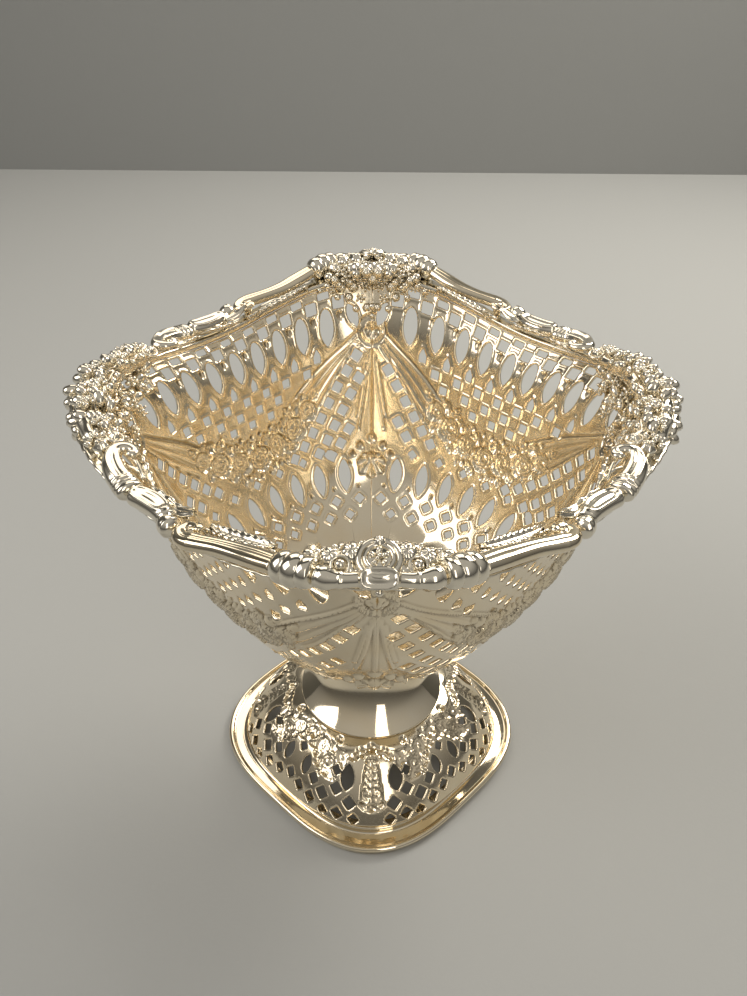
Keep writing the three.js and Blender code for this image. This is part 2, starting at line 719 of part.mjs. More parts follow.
const quarterNames = ["near_right", "near_left", "far_right", "far_left"];
const quarterPieces = {
  collar: [collar, POLISHED],
  rod: [rod, POLISHED],
  leaf: [leaf, CHASED],
  spoon: [spoon, POLISHED],
  scroll: [scroll, POLISHED],
};
for (const quarter of quarterNames) {
  const sideX = quarter.endsWith("right") ? 1 : -1;
  const sideY = quarter.startsWith("far") ? 1 : -1;
  for (const [name, [make, roughness]] of Object.entries(quarterPieces)) {
    const placed = bend(make(), (point) => point.set(sideX * point.x, sideY * point.y, point.z));
    piece(`border_${name}_${quarter}`, welded(placed), silver(0xdfd2b6, roughness));
  }
}

// The far and right sprays are made, and mirrored to the near and left corners.
const sprays = [
  ["far", QUARTER, SHORT_SPRAY_LENGTH, SHORT_SPRAY_RISE],
  ["right", 0, longSprayLength, 0],
];
const opposite = { far: "near", right: "left" };
for (const [name, middle, length, rise] of sprays) {
  const bunch = spray(middle, length, rise);
  const [sideX, sideY] = name === "far" ? [1, -1] : [-1, 1];
  const mirrored = bend(bunch.clone(), (point) => point.set(sideX * point.x, sideY * point.y, point.z));
  piece(`border_spray_${name}`, bunch, silver(0xe0d0ae, CHASED));
  piece(`border_spray_${opposite[name]}`, welded(mirrored), silver(0xe0d0ae, CHASED));
}

export default basket;
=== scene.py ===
"""The look of a pierced silver bonbon basket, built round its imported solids.

Sizes inside the functions are in millimetres. Finished meshes are stored in metres.
"""

import math

import bmesh
import bpy
import numpy as np
from mathutils import Matrix, Vector


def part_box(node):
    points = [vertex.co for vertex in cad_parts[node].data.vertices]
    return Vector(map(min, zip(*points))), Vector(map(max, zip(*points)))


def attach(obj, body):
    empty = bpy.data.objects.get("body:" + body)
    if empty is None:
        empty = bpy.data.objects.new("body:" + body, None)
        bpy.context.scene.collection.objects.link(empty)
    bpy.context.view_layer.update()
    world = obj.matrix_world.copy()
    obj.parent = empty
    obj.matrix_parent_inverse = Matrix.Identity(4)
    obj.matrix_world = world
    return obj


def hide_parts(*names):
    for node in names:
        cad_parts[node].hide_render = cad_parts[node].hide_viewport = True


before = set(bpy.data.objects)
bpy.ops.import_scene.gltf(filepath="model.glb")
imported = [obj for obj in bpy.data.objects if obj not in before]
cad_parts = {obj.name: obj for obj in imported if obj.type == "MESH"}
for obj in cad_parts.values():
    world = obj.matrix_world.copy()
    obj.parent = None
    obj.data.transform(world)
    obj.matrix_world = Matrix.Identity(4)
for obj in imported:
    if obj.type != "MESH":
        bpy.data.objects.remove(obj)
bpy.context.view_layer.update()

bl_info = {
    "name": "Pierced silver basket",
    "version": (1, 0, 0),
    "blender": (4, 5, 0),
    "location": "3D View > Sidebar > Basket",
    "description": "Makes a pierced bonbon basket with a cast border on a pierced foot",
    "category": "Object",
}

MM = 0.001
QUARTER = math.pi / 2
TAU = 2 * math.pi
DEGREE = math.pi / 180

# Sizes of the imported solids, in millimetres.
CORNER_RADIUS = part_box("bowl")[1].x / MM
BOWL_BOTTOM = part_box("bowl")[0].z / MM
BOWL_HEIGHT = 71.0
BOWL_TOP = BOWL_BOTTOM + BOWL_HEIGHT
BOWL_SQUARENESS = 0.05
RIM_WAVE = 2.9
CORNER_RISE = 1.3
DOME_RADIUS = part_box("foot_dome")[1].x / MM
DOME_EYE = 19.6
DOME_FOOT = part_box("foot_dome")[0].z / MM
DOME_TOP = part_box("foot_dome")[1].z / MM
DOME_SQUARENESS = 0.035
FOOT_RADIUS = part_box("foot_flange")[1].x / MM
FLANGE_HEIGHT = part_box("foot_flange")[1].z / MM
FOOT_SQUARENESS = 0.055
NECK_RADIUS = 9.8
NECK_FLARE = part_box("foot_neck")[1].x / MM
NECK_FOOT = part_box("foot_neck")[0].z / MM
NECK_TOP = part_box("foot_neck")[1].z / MM
BAND_THICKNESS = 1.8
BAND_WIDTH = 5.8
SOLDER_GAP = 0.4
BORDER_RADIUS = 67.95
COLLAR_START = 10.5
ROD_START = 18.5
ROD_LENGTH = 27.0
SPOON_START = 46.5
SCROLL_START = 64.0

# Sizes that only the look has, in millimetres.
PATTERN_REACH = 3.0
PLAIN_END = 34.0
DRAPE_LEVEL = 80.0
SHEET_SINK = 0.1
SPRAY_INSET = 1.2

# The photograph's camera, in its own pixels.
FOCAL_LENGTH = 900
PHOTO_WIDTH = 747
SENSOR_WIDTH = 36


# Curves, plan and sections

def bell(value, middle, width, power=2):
    """One at the middle, and nought well away from it."""
    return np.exp(-(((value - middle) / width) ** power))


def ramp(value, start, run):
    """Nought up to the start, and one after the run."""
    return np.clip((value - start) / run, 0, 1)


def hump(share, power=1):
    """Nought at both ends, and one half way."""
    return np.sin(math.pi * np.clip(share, 0, 1)) ** power


def soft_square(angle, squareness):
    return (1 + squareness * np.cos(4 * angle)) / (1 + squareness)


def rim_wave(angle, height):
    grip = ramp(ramp(height, BOWL_BOTTOM, BOWL_HEIGHT), 0.38, 0.62) ** 2
    return grip * (RIM_WAVE * np.cos(4 * angle) - CORNER_RISE * np.cos(2 * angle))


def spline(points, count):
    """Points of a smooth curve through a few places."""
    places = np.array(points, float)
    last = len(places) - 1
    at = np.linspace(0, last, count)
    low = np.minimum(at.astype(int), last - 1)
    share = (at - low)[:, None]
    before = places[np.maximum(low - 1, 0)]
    after = places[np.minimum(low + 2, last)]
    start, end = places[low], places[low + 1]
    leave, arrive = (end - before) / 2, (after - start) / 2
    cubic = 2 * start - 2 * end + leave + arrive
    square = -3 * start + 3 * end - 2 * leave - arrive
    return cubic * share**3 + square * share**2 + leave * share + start


def spread(inner, outer, low, high, shares):
    """Points of a section, given as shares of its width and height."""
    return [(inner + out * (outer - inner), low + up * (high - low)) for out, up in shares]


class Section:
    """A section of a turned sheet, measured along its own length."""

    def __init__(self, points, from_axis=False):
        line = spline(points, 1500)
        if from_axis:
            line = np.vstack([[0, line[0, 1]], line])
        self.radius, self.height = line.T
        steps = np.hypot(np.diff(self.radius), np.diff(self.height))
        self.along = np.concatenate([[0], np.cumsum(steps)])
        self.length = self.along[-1]

    def radius_at(self, along):
        return np.interp(along, self.along, self.radius)

    def height_at(self, along):
        return np.interp(along, self.along, self.height)


bowl_section = Section(
    spread(0, CORNER_RADIUS, BOWL_BOTTOM, BOWL_TOP, [
        (0.176, 0), (0.356, 0.051), (0.518, 0.149), (0.676, 0.299), (0.794, 0.535),
        (0.903, 0.859), (1, 1),
    ]),
    from_axis=True,
)
dome_section = Section(spread(
    DOME_EYE, DOME_RADIUS, DOME_FOOT, DOME_TOP,
    [(0, 1), (0.28, 0.9), (0.55, 0.68), (0.8, 0.36), (1, 0)],
))


def around(angle, radius, height):
    """A place at an angle and a distance from the axis."""
    return np.stack([radius * np.cos(angle), radius * np.sin(angle), height], -1)


def bowl_place(angle, along):
    radius, height = bowl_section.radius_at(along), bowl_section.height_at(along)
    grip = ramp(radius / CORNER_RADIUS, 0.3, 0.55)
    radius = radius * soft_square(angle, BOWL_SQUARENESS * grip)
    return around(angle, radius, height + rim_wave(angle, height))


def dome_place(angle, along):
    radius = dome_section.radius_at(along) * soft_square(angle, DOME_SQUARENESS)
    return around(angle, radius, dome_section.height_at(along))


def lifted(place, angle, along, lift):
    """Places of a curved sheet, moved out along its own normal."""
    across = place(angle + 0.001, along) - place(angle - 0.001, along)
    down = place(angle, along + 0.05) - place(angle, along - 0.05)
    normal = np.cross(across, down)
    normal /= np.maximum(np.linalg.norm(normal, axis=-1, keepdims=True), 1e-9)
    return place(angle, along) + normal * lift[..., None]


def border_place(angle, out, up):
    """A place of the border: out from the wall's top edge and up from the strip."""
    edge = CORNER_RADIUS * soft_square(angle, BOWL_SQUARENESS)
    height = BOWL_TOP + rim_wave(angle, BOWL_TOP) + SOLDER_GAP + BAND_THICKNESS + up
    return around(angle, edge + out, height)


def quarter_place(along, out, up):
    """A place of the far right quarter, in millimetres along the rim from the far corner."""
    return border_place(QUARTER - np.asarray(along, float) / BORDER_RADIUS, out, up)


# Outlines of holes: distance to the edge, below nought inside

def almond(x, y, width, height):
    """Round above and pointed below."""
    a, b = width / 2, height / 2
    upper = np.hypot(x / a, y / b)
    round_end = (upper - 1) * upper / np.maximum(np.hypot(x / a**2, y / b**2), 1e-6)
    return np.where(y > 0, round_end, leaf_shape(x, y, width, height))


def leaf_shape(x, y, width, height):
    """Pointed above and below."""
    ease = 0.35
    a, b = width / 2 - ease, height / 2 - 2 * ease
    shift = (b * b - a * a) / (2 * a)
    x, y = np.abs(x), np.abs(y)
    tip = np.hypot(x, y - b)
    side = np.hypot(x + shift, y) - (a + shift)
    return np.where((y - b) * shift > x * b, tip, side) - ease


def box_shape(x, y, width, height):
    ease = 0.25
    x = np.abs(x) - width / 2 + ease
    y = np.abs(y) - height / 2 + ease
    outside = np.hypot(np.maximum(x, 0), np.maximum(y, 0))
    return outside + np.minimum(np.maximum(x, y), 0) - ease


def gable(x, y, width, height):
    """A small house: flat below and pointed above."""
    roof = np.abs(x) * 0.86 + (y - height / 2) * 0.5
    return np.maximum(box_shape(x, y, width, height), roof)


def folded(angle):
    """Angle from the nearest corner, and whether it is on the side after that corner."""
    turned = np.mod(angle, QUARTER)
    return np.minimum(turned, QUARTER - turned), turned < QUARTER / 2


class Pattern:
    """Holes and raised work on a sheet, in degrees from a corner and millimetres along it."""

    def __init__(self, section, edge_height, outer_rims, inner_rims, slant=0, bend=None):
        self.section = section
        self.edge_height = edge_height
        self.outer_rims, self.inner_rims = outer_rims, inner_rims
        self.slant = slant
        self.bend = bend
        self.holes, self.works = [], []

    def pierce(self, shape, degrees, along, width, height, turn=0, side=0):
        """Adds a hole, on both sides of a corner or on one of them."""
        for one in (side,) if side or degrees == 45 else (1, -1):
            lean = self.lean(degrees, along) if one < 0 and not side else 0
            self.holes.append((shape, degrees - lean, along, width, height, turn, one))

    def lean(self, degrees, along):
        """How much nearer to a corner the holes before it are than those after it."""
        to_middle, height = (45 - degrees) / 32, (along - 84) / 8
        return self.slant * to_middle * min(max(height, 0.4), 1)

    def work(self, rule, degrees, level, span, *details, turn=0, side=0):
        """Adds raised work. The rule gets places measured from the work's own middle."""
        self.works.append((rule, degrees, level, span, details, turn, side))

    def near(self, spots, degrees, level, span, turn, side):
        """The spots within a span of a middle, and their places measured from it."""
        angle, along, after = spots
        radius = self.section.radius_at(level)
        near = (np.abs(along - level) < span) & (np.abs(angle - degrees * DEGREE) < span / radius)
        if side:
            near &= after == (side > 0)
        x = (angle[near] - degrees * DEGREE) * radius
        y = along[near] - level
        c, s = math.cos(turn * DEGREE), math.sin(turn * DEGREE)
        return near, x * c + y * s, y * c - x * s

    def distance(self, angle, along):
        """Distance from the nearest hole's edge, up to the reach."""
        angle, after = folded(angle)
        nearest = np.full(angle.shape, PATTERN_REACH)
        for shape, degrees, level, width, height, turn, side in self.holes:
            span = (width + height) / 2 + PATTERN_REACH
            near, x, y = self.near((angle, along, after), degrees, level, span, turn, side)
            nearest[near] = np.minimum(nearest[near], shape(x, y, width, height))
        return nearest

    def relief(self, angle, along):
        """Height of the ornament, and of the lines raised round the holes."""
        edge = self.distance(angle, along)
        angle, after = folded(angle)
        height = np.zeros(angle.shape)
        for rule, degrees, level, span, details, turn, side in self.works:
            near, x, y = self.near((angle, along, after), degrees, level, span, turn, side)
            height[near] = np.maximum(height[near], rule(x, y, *details))
        rims = self.edge_height * bell(edge, 0.42, 0.34)
        return height * np.clip(edge / 0.3 + 0.35, 0, 1), rims


# Raised work: height over the sheet

def ridge_line(x, y, places, width, height):
    """A raised line through places."""
    away = np.full(x.shape, 1e3)
    line = spline(places, 6 * len(places))
    for (x0, y0), (x1, y1) in zip(line[:-1], line[1:]):
        run = (x1 - x0) ** 2 + (y1 - y0) ** 2 + 1e-9
        share = np.clip(((x - x0) * (x1 - x0) + (y - y0) * (y1 - y0)) / run, 0, 1)
        away = np.minimum(away, np.hypot(x - x0 - share * (x1 - x0), y - y0 - share * (y1 - y0)))
    return height * bell(away, 0, width)


def bead(x, y, radius, height):
    return height * np.sqrt(np.maximum(1 - (x * x + y * y) / radius**2, 0))


def drop(x, y, radius, height):
    """A bead with a tail above."""
    wide = radius * np.clip(1.15 - y / (3.4 * radius), 0.25, 1)
    return height * np.sqrt(np.maximum(1 - (x / wide) ** 2 - (y / (2.2 * radius)) ** 2, 0))


def rosette(x, y, radius, height):
    """A flower in a double ring."""
    away, lobes = np.hypot(x, y), np.abs(np.cos(3 * np.arctan2(y, x)))
    rings = bell(away, radius * 0.92, 0.34) * height
    rings = np.maximum(rings, bell(away, radius * 0.72, 0.26) * height * 0.7)
    petal = np.maximum(1 - (away / (radius * 0.58)) ** 2, 0)
    petals = height * petal**0.5 * (0.25 + 0.75 * lobes**0.7)
    return np.maximum(np.maximum(rings, petals), bead(x, y, radius * 0.2, height * 1.3))


def rose(x, y, radius, height):
    """An open rose of overlapping petals."""
    away, turn = np.hypot(x, y) / radius, np.arctan2(y, x)
    edge = 1 - 0.09 * (1 - np.abs(np.cos(2.5 * turn)))
    body = np.where(away < edge, height * (0.35 + 0.5 * np.sqrt(np.maximum(1 - away**2, 0))), 0)
    lines = 0
    for ring, petals, start in ((0.9, 5, 0), (0.62, 5, 0.6), (0.34, 3, 0.2)):
        lobes = np.abs(np.cos(petals / 2 * turn + start))
        lines = np.maximum(lines, bell(away, ring * (1 - 0.13 * (1 - lobes)), 0.085))
        lines = np.where((lobes < 0.16) & (np.abs(away - ring + 0.14) < 0.13), -0.5, lines)
    return np.where(body > 0, body + 0.34 * height * lines, 0)


def daisy(x, y, radius, height):
    away, lobes = np.hypot(x, y) / radius, np.abs(np.cos(3 * np.arctan2(y, x)))
    petals = np.maximum(1 - (away / (0.72 + 0.28 * lobes)) ** 2, 0)
    shape = height * petals**0.5 * (0.4 + 0.5 * lobes**0.6)
    return np.maximum(shape, bead(x, y, radius * 0.32, height))


def sprig(x, y, length, width, height):
    """A veined leaf that starts at the middle and points along x."""
    share = np.clip(x / length, 0, 1)
    wide = width * hump(share**0.8, 0.75) * (1 + 0.14 * np.sin(22 * share))
    inside = (x > 0) & (x < length) & (np.abs(y) < wide)
    across = np.abs(y) / np.maximum(wide, 1e-3)
    shape = height * (0.35 + 0.65 * np.sqrt(np.maximum(1 - across**2, 0)))
    shape = shape - 0.3 * height * bell(y, 0, 0.28)
    shape = shape + 0.16 * height * np.sin(16 * share - 5 * across)
    return np.where(inside, np.maximum(shape, 0.05), 0)


def shell(x, y, radius, height):
    """A scallop that opens downward from its hinge."""
    away, turn = np.hypot(x, y), np.arctan2(x, -y)
    lobes = np.abs(np.cos(turn * 4.5))
    edge = radius * (0.86 + 0.14 * lobes) * np.clip(1.25 - np.abs(turn) / 2.6, 0.25, 1)
    body = np.where(away < edge, height * (0.45 + 0.55 * lobes) * (away / radius) ** 0.35, 0)
    return np.maximum(body, bead(x, y, radius * 0.3, height * 1.1))


def garland(pattern, kinds):
    """Flowers, berries and leaves, as degrees, length along, size, height and turn."""
    for rule, places in kinds.items():
        for degrees, along, size, height, turn in places:
            details = (size, size * 0.3, height) if rule is sprig else (size, height)
            pattern.work(rule, degrees, along, size * 1.3, *details, turn=turn)


def bowl_flutes(angle, along):
    """Shallow flutes in the plain middle of the bowl."""
    fade = ramp(along, 37, -7) * ramp(along, 8, 12)
    return -0.7 * fade**1.4 * np.abs(np.cos(8 * angle))


def bowl_pattern(edge_height):
    pattern = Pattern(bowl_section, edge_height, 0.15, 1.0, 2.2, bowl_flutes)
    pitch = 7.9
    for count, shape, shift, along, width, height in (
        (5, almond, 0, 97.0, 4.5, 10.8), (5, box_shape, 0, 106.1, 3.8, 2.0),
        (5, box_shape, 0.5, 103.5, 3.7, 3.4), (4, gable, 0.5, 90.2, 2.5, 4.3),
        (4, box_shape, 0, 85.8, 2.8, 2.7), (2, box_shape, 0.5, 81.8, 2.8, 2.6),
        (2, box_shape, 0, 78.1, 2.7, 2.5),
    ):
        for i in range(count):
            pattern.pierce(shape, 45 - pitch * (i + shift), along, width, height)
    for i in range(5):
        pattern.work(drop, 45 - pitch * (i + 0.5), 100.0, 3, 0.75, 0.8)
    pattern.pierce(leaf_shape, 5.6, 99.4, 3.2, 7.4, -24)
    after = [
        (4.8, 88.2), (8.0, 84), (11.4, 79.6), (14.7, 75.2), (18.0, 71), (21.8, 67.2), (26, 63.8),
        (31, 61), (4.2, 81.6), (7, 76.9), (10, 72.2), (13.2, 67.8), (16.5, 63.6), (20.5, 60),
        (8.2, 66), (11.6, 61.8), (15.6, 58.2),
    ]
    before = [
        (5.2, 84), (8.2, 79.6), (11.5, 75.2), (15, 71), (18.6, 67.2), (22.6, 63.8), (9.4, 68.4),
        (12.9, 64.2),
    ]
    for side, rows in ((1, after), (-1, before)):
        for degrees, along in rows:
            pattern.pierce(box_shape, degrees, along, 3.1, 3.1, 35, side)
    for i in range(4):
        at = 45 - 11.25 * i
        between = at - 5.62
        pattern.pierce(leaf_shape, at, 51.2, 4.0, 11.2)
        pattern.pierce(box_shape, at, 38.0, 2.4, 2.4, 45)
        pattern.pierce(box_shape, between, 43.0, 2.6, 2.6, 45)
        pattern.work(bead, between, 47.0, 2, 0.7, 0.6)
        if 0 < i < 3:
            pattern.pierce(box_shape, between, 58.8, 2.4, 2.4, 45)
    pattern.pierce(box_shape, 39.4, 58.8, 2.4, 2.4, 45)
    pattern.pierce(box_shape, 24.2, 81.8, 2.7, 2.5, 0, -1)
    corner_panel(pattern)
    garland(pattern, {
        rose: [
            (45, 66.2, 4.3, 1.5, 0), (36.6, 67.6, 3.7, 1.4, 40), (28.6, 70.4, 4.0, 1.5, 70),
            (22.6, 74.6, 3.3, 1.3, 10),
        ],
        daisy: [
            (40.8, 71.8, 2.5, 1.0, 10), (41.0, 62.2, 2.2, 0.9, 30), (32.6, 73.6, 2.6, 1.1, 20),
            (32.8, 65.8, 2.3, 1.0, 0),
        ],
        bead: [
            (26.6, 77.6, 2.0, 1.1, 0), (24.4, 79.6, 1.2, 0.8, 0), (42.6, 60.6, 0.9, 0.7, 0),
            (37.4, 62.2, 1.0, 0.7, 0), (34.6, 62.8, 0.9, 0.7, 0), (38.6, 74.6, 1.0, 0.7, 0),
            (43.2, 74.2, 0.9, 0.7, 0),
        ],
        sprig: [
            (45, 69.5, 5.2, 1.0, 60), (37, 70, 5.0, 1.0, 100), (29, 74, 5.4, 1.0, 60),
            (36, 64.5, 4.4, 0.9, -110), (29, 67.5, 4.6, 0.9, -60), (24, 71.4, 4.2, 0.9, -120),
            (21, 77, 4.6, 0.8, 125),
        ],
    })
    return pattern


def corner_panel(pattern):
    """The plain draped panel under each corner, with its rosette and pendant."""
    pattern.work(rosette, 0, 95.0, 6, 4.4, 1.25)
    outer = [(3.4, 95.4), (8.6, 91.6), (14.4, 88.2), (20.2, 84.8), (25.6, 81), (30.6, 77.2)]
    upper = [(3.2, 95), (7.9, 91), (13.4, 87), (18.6, 83), (22.6, 79.2), (26.6, 75.6)]
    inner = [(2.6, 91.6), (6.6, 89.2), (10.3, 85.2), (13.6, 80.8), (16.6, 76.4), (19.8, 73)]
    lower = [(2.4, 91), (4.7, 87.6), (7.7, 83.8), (10.8, 79.4), (13.8, 75.2), (17, 71.6)]
    flutes = [[(0.0, 89), (0.0, 64)], [(0.8, 88), (2.2, 78), (4.2, 66)], [(1.8, 86), (4.6, 70)]]
    lines = [(0, places, 0.42, 0.5) for places in flutes]
    for side, top, bottom in ((1, outer, inner), (-1, upper, lower)):
        lines += [(side, top, 0.4, 0.75), (side, bottom, 0.36, 0.6)]
        for s in (0.3, 0.62):
            lines.append((side, (1 - s) * np.array(bottom) + s * np.array(top), 0.7, 0.4))
    for side, places, width, height in lines:
        shifted = [(x, y - DRAPE_LEVEL) for x, y in places]
        pattern.work(corner_line, 0, DRAPE_LEVEL, 40, shifted, width, height, side=side)
    pattern.work(shell, 0, 56.2, 9, 6.6, 1.3)
    for x, y, radius in [(3.4, 60.4, 1.3), (5.8, 57.8, 1.1), (0, 62.8, 1.5), (7.2, 54.6, 0.9)]:
        pattern.work(bead, x / 45 / DEGREE, y, 2, radius, 0.9)


def corner_line(x, y, places, width, height):
    """A raised line of a corner panel, with x taken as true distance from the corner."""
    radius_at = bowl_section.radius_at
    true = x * radius_at(y + DRAPE_LEVEL) / radius_at(DRAPE_LEVEL)
    return ridge_line(true, y, places, width, height)


def dome_pattern(edge_height):
    pattern = Pattern(dome_section, edge_height, 1.0, 0.0)
    pattern.pierce(leaf_shape, 12.8, 13.8, 4.1, 8.4)
    pattern.pierce(leaf_shape, 38.0, 16.0, 3.5, 7.0)
    for degrees, along, size in [
        (10.4, 20.8, 3.3), (17.8, 17.8, 3.1), (24.6, 20.8, 3.3), (31.2, 18.2, 2.9),
        (8.0, 25.4, 2.7), (15.6, 24.8, 3.0), (22.6, 25.6, 2.7), (30.4, 23.9, 3.0),
        (37.8, 22.8, 2.9), (45, 21.2, 2.9), (45, 12.0, 2.4), (19.8, 12.8, 2.5),
    ]:
        pattern.pierce(box_shape, degrees, along, size, size, 45)
    garland(pattern, {
        rose: [(27.0, 12.4, 3.3, 1.4, 20), (19.0, 9.0, 2.3, 1.1, 0), (33.6, 8.4, 2.6, 1.2, 50)],
        daisy: [
            (26.4, 7.4, 2.1, 1.0, 10), (31.6, 13.2, 1.9, 1.0, 30), (40.0, 6.0, 1.9, 1.0, 0),
            (22.0, 14.8, 1.8, 0.9, 0),
        ],
        bead: [
            (14.0, 7.6, 1.2, 0.9, 0), (10.6, 6.6, 1.0, 0.8, 0), (24.0, 4.6, 1.2, 0.9, 0),
            (45.0, 6.6, 1.5, 1.0, 0), (0, 4.6, 1.4, 1.1, 0), (0, 8.4, 1.1, 0.9, 0),
            (22.8, 11.6, 1.1, 1.1, 0), (31.0, 9.8, 1.0, 1.1, 0), (35.0, 11.4, 1.1, 1.0, 0),
            (16.6, 11.2, 1.0, 0.9, 0), (24.8, 15.2, 1.0, 0.9, 0), (29.6, 15.8, 1.0, 0.9, 0),
            (37.4, 8.2, 1.1, 1.1, 0), (42.4, 7.6, 1.2, 1.0, 0),
        ],
        sprig: [
            (30, 12, 4.2, 0.9, -50), (24, 10, 4.0, 0.9, 160), (36, 9, 3.8, 0.9, 20),
            (3, 5.4, 4.6, 0.9, 24), (8, 7.6, 4.0, 0.8, 0),
        ],
    })
    ribbon = [(0.4, 4.6), (4.6, 6.8), (8.4, 8.0), (12.4, 9.6)]
    pattern.work(ridge_line, 0, 0.0, 30, ribbon, 0.7, 0.8)
    for i in range(5):
        along, reach = 9.8 + 2.4 * i, 2.7 + 0.6 * i
        pattern.work(sprig, 0, along, 7, reach, 0.34 * reach + 0.3, 1.4, turn=-58)
        pattern.work(drop, 0, along, 3, 0.7 + 0.1 * i, 1.5)
    pattern.work(shell, 0, 21.4, 7, 5.2, 1.5)
    return pattern


# Meshes

def finished(name, bm, finish, slot, *nodes):
    """Makes a piece from a mesh in millimetres, and stands it in for its solids."""
    bmesh.ops.scale(bm, vec=(MM, MM, MM), verts=bm.verts)
    mesh = kept(bm, name)
    mesh.polygons.foreach_set("use_smooth", np.ones(len(mesh.polygons), bool))
    mark_recesses(mesh)
    mesh.materials.append(bpy.data.materials[finish])
    piece = linked(name, mesh)
    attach(piece, "root")
    if nodes:
        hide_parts(*nodes)
    return piece


def kept(bm, name="template"):
    """Turns a shape into a mesh."""
    mesh = bpy.data.meshes.new(name)
    bm.to_mesh(mesh)
    bm.free()
    return mesh


def linked(name, data):
    """Puts an object with this mesh, lamp or camera into the scene."""
    piece = bpy.data.objects.new(name, data)
    bpy.context.scene.collection.objects.link(piece)
    return piece


def read(rows, key, kind=float, width=3):
    """Values of a mesh's rows as an array."""
    values = np.empty(len(rows) * width, kind)
    rows.foreach_get(key, values)
    return values.reshape(-1, width)


def mark_recesses(mesh):
    """Stores how deep each place lies between its neighbours, for the tarnish."""
    count = len(mesh.vertices)
    co, normal = read(mesh.vertices, "co"), read(mesh.vertex_normals, "vector")
    one, two = read(mesh.edges, "vertices", int, 2).T
    step = co[two] - co[one]
    length = np.maximum(np.linalg.norm(step, axis=1), 1e-9)
    uses = np.maximum(np.bincount(one, minlength=count) + np.bincount(two, minlength=count), 1)
    rise = np.bincount(one, (step * normal[one]).sum(1) / length, count)
    rise -= np.bincount(two, (step * normal[two]).sum(1) / length, count)
    hollow = rise / uses
    for _ in range(2):
        around_it = np.bincount(one, hollow[two], count) + np.bincount(two, hollow[one], count)
        hollow = 0.5 * hollow + 0.5 * around_it / uses
    layer = mesh.attributes.new("recess", "FLOAT", "POINT")
    layer.data.foreach_set("value", hollow.astype(np.float32))


def grid(columns, rows):
    """A flat grid and the column and row of each of its corners."""
    bm = bmesh.new()
    bmesh.ops.create_grid(bm, x_segments=columns, y_segments=rows, size=0.5)
    column = np.array([round((v.co.x + 0.5) * columns) for v in bm.verts])
    row = np.array([round((v.co.y + 0.5) * rows) for v in bm.verts])
    return bm, column, row


def placed(bm, places):
    for vert, place in zip(bm.verts, places):
        vert.co = place


def closed(bm, places=()):
    """Puts a shape's corners in their places, welds its seams and turns its faces outward."""
    placed(bm, places)
    bmesh.ops.remove_doubles(bm, verts=bm.verts, dist=1e-3)
    bmesh.ops.recalc_face_normals(bm, faces=bm.faces)
    return bm


def flat_sheet(pattern, angles, alongs):
    """The sheet laid flat: angle across, length up, pierced, with its two faces apart."""
    bm, column, row = grid(len(angles) - 1, len(alongs) - 1)
    angle, along = np.meshgrid(angles, alongs, indexing="ij")
    middle = [(values[1:, 1:] + values[:-1, :-1]) / 2 for values in (angle, along)]
    cut = pattern.distance(*middle) < 0
    cuts = np.pad(cut.astype(int), 1, mode="edge")
    cuts = cuts[1:] + cuts[:-1]
    cuts = cuts[:, 1:] + cuts[:, :-1]
    edge = (cuts > 0) & (cuts < 4)
    angle[edge], along[edge] = snapped(pattern, angle[edge], along[edge])
    placed(bm, np.stack([angle[column, row], along[column, row], 0 * row], -1))
    column_of = dict(zip(bm.verts, column))
    row_of = dict(zip(bm.verts, row))
    waste = [
        face
        for face in bm.faces
        if cut[min(column_of[v] for v in face.verts), min(row_of[v] for v in face.verts)]
    ]
    bmesh.ops.delete(bm, geom=waste, context="FACES")
    bmesh.ops.solidify(bm, geom=bm.faces[:], thickness=1.0)
    return kept(bm)


def snapped(pattern, angle, along):
    """Moves places near a hole onto its edge."""
    step, furthest = 0.02, 0.3
    for _ in range(3):
        radius = pattern.section.radius_at(along)
        away = pattern.distance(angle, along)
        slope_x = (pattern.distance(angle + step / radius, along) - away) / step
        slope_y = (pattern.distance(angle, along + step) - away) / step
        steep = np.maximum(slope_x**2 + slope_y**2, 0.2)
        push = np.clip(away / steep, -furthest, furthest)
        angle = angle - push * slope_x / radius
        along = along - push * slope_y
    return angle, along


def raised_sheet(flat, place, pattern, start, sheet, depth):
    """Raises a flat pierced sheet to its curved form, with its ornament."""
    angle, along, layer = read(flat.vertices, "co").T
    relief, rims = [height * depth for height in pattern.relief(angle, along)]
    high = layer > (layer.min() + layer.max()) / 2
    inner_share = 0.85
    outer = relief + rims * pattern.outer_rims
    inner = relief * inner_share - rims * pattern.inner_rims - sheet
    lift = np.where(high, outer, inner) - SHEET_SINK
    if pattern.bend:
        lift = lift + pattern.bend(angle, along)
    bm = bmesh.new()
    bm.from_mesh(flat)
    placed(bm, lifted(place, angle + start, along, lift))
    bmesh.ops.remove_doubles(bm, verts=bm.verts, dist=2e-3)
    return bm


def swept(centre, radius, steps, sides):
    """A closed bar along a path. The radius may change along it and round it."""
    bm, column, row = grid(steps, sides)
    middle = centre(np.linspace(0, 1, steps + 1))
    ahead = np.gradient(middle, axis=0)
    ahead /= np.linalg.norm(ahead, axis=1, keepdims=True)
    side = np.cross(ahead, np.array([0, 0, 1.0]))
    side /= np.maximum(np.linalg.norm(side, axis=1, keepdims=True), 1e-6)
    top = np.cross(side, ahead)
    turn = TAU * row / sides
    size = radius(column / steps, turn) * ((column > 0) & (column < steps))
    spot = middle[column] + side[column] * (size * np.cos(turn))[:, None]
    return closed(bm, spot + top[column] * (size * np.sin(turn))[:, None])


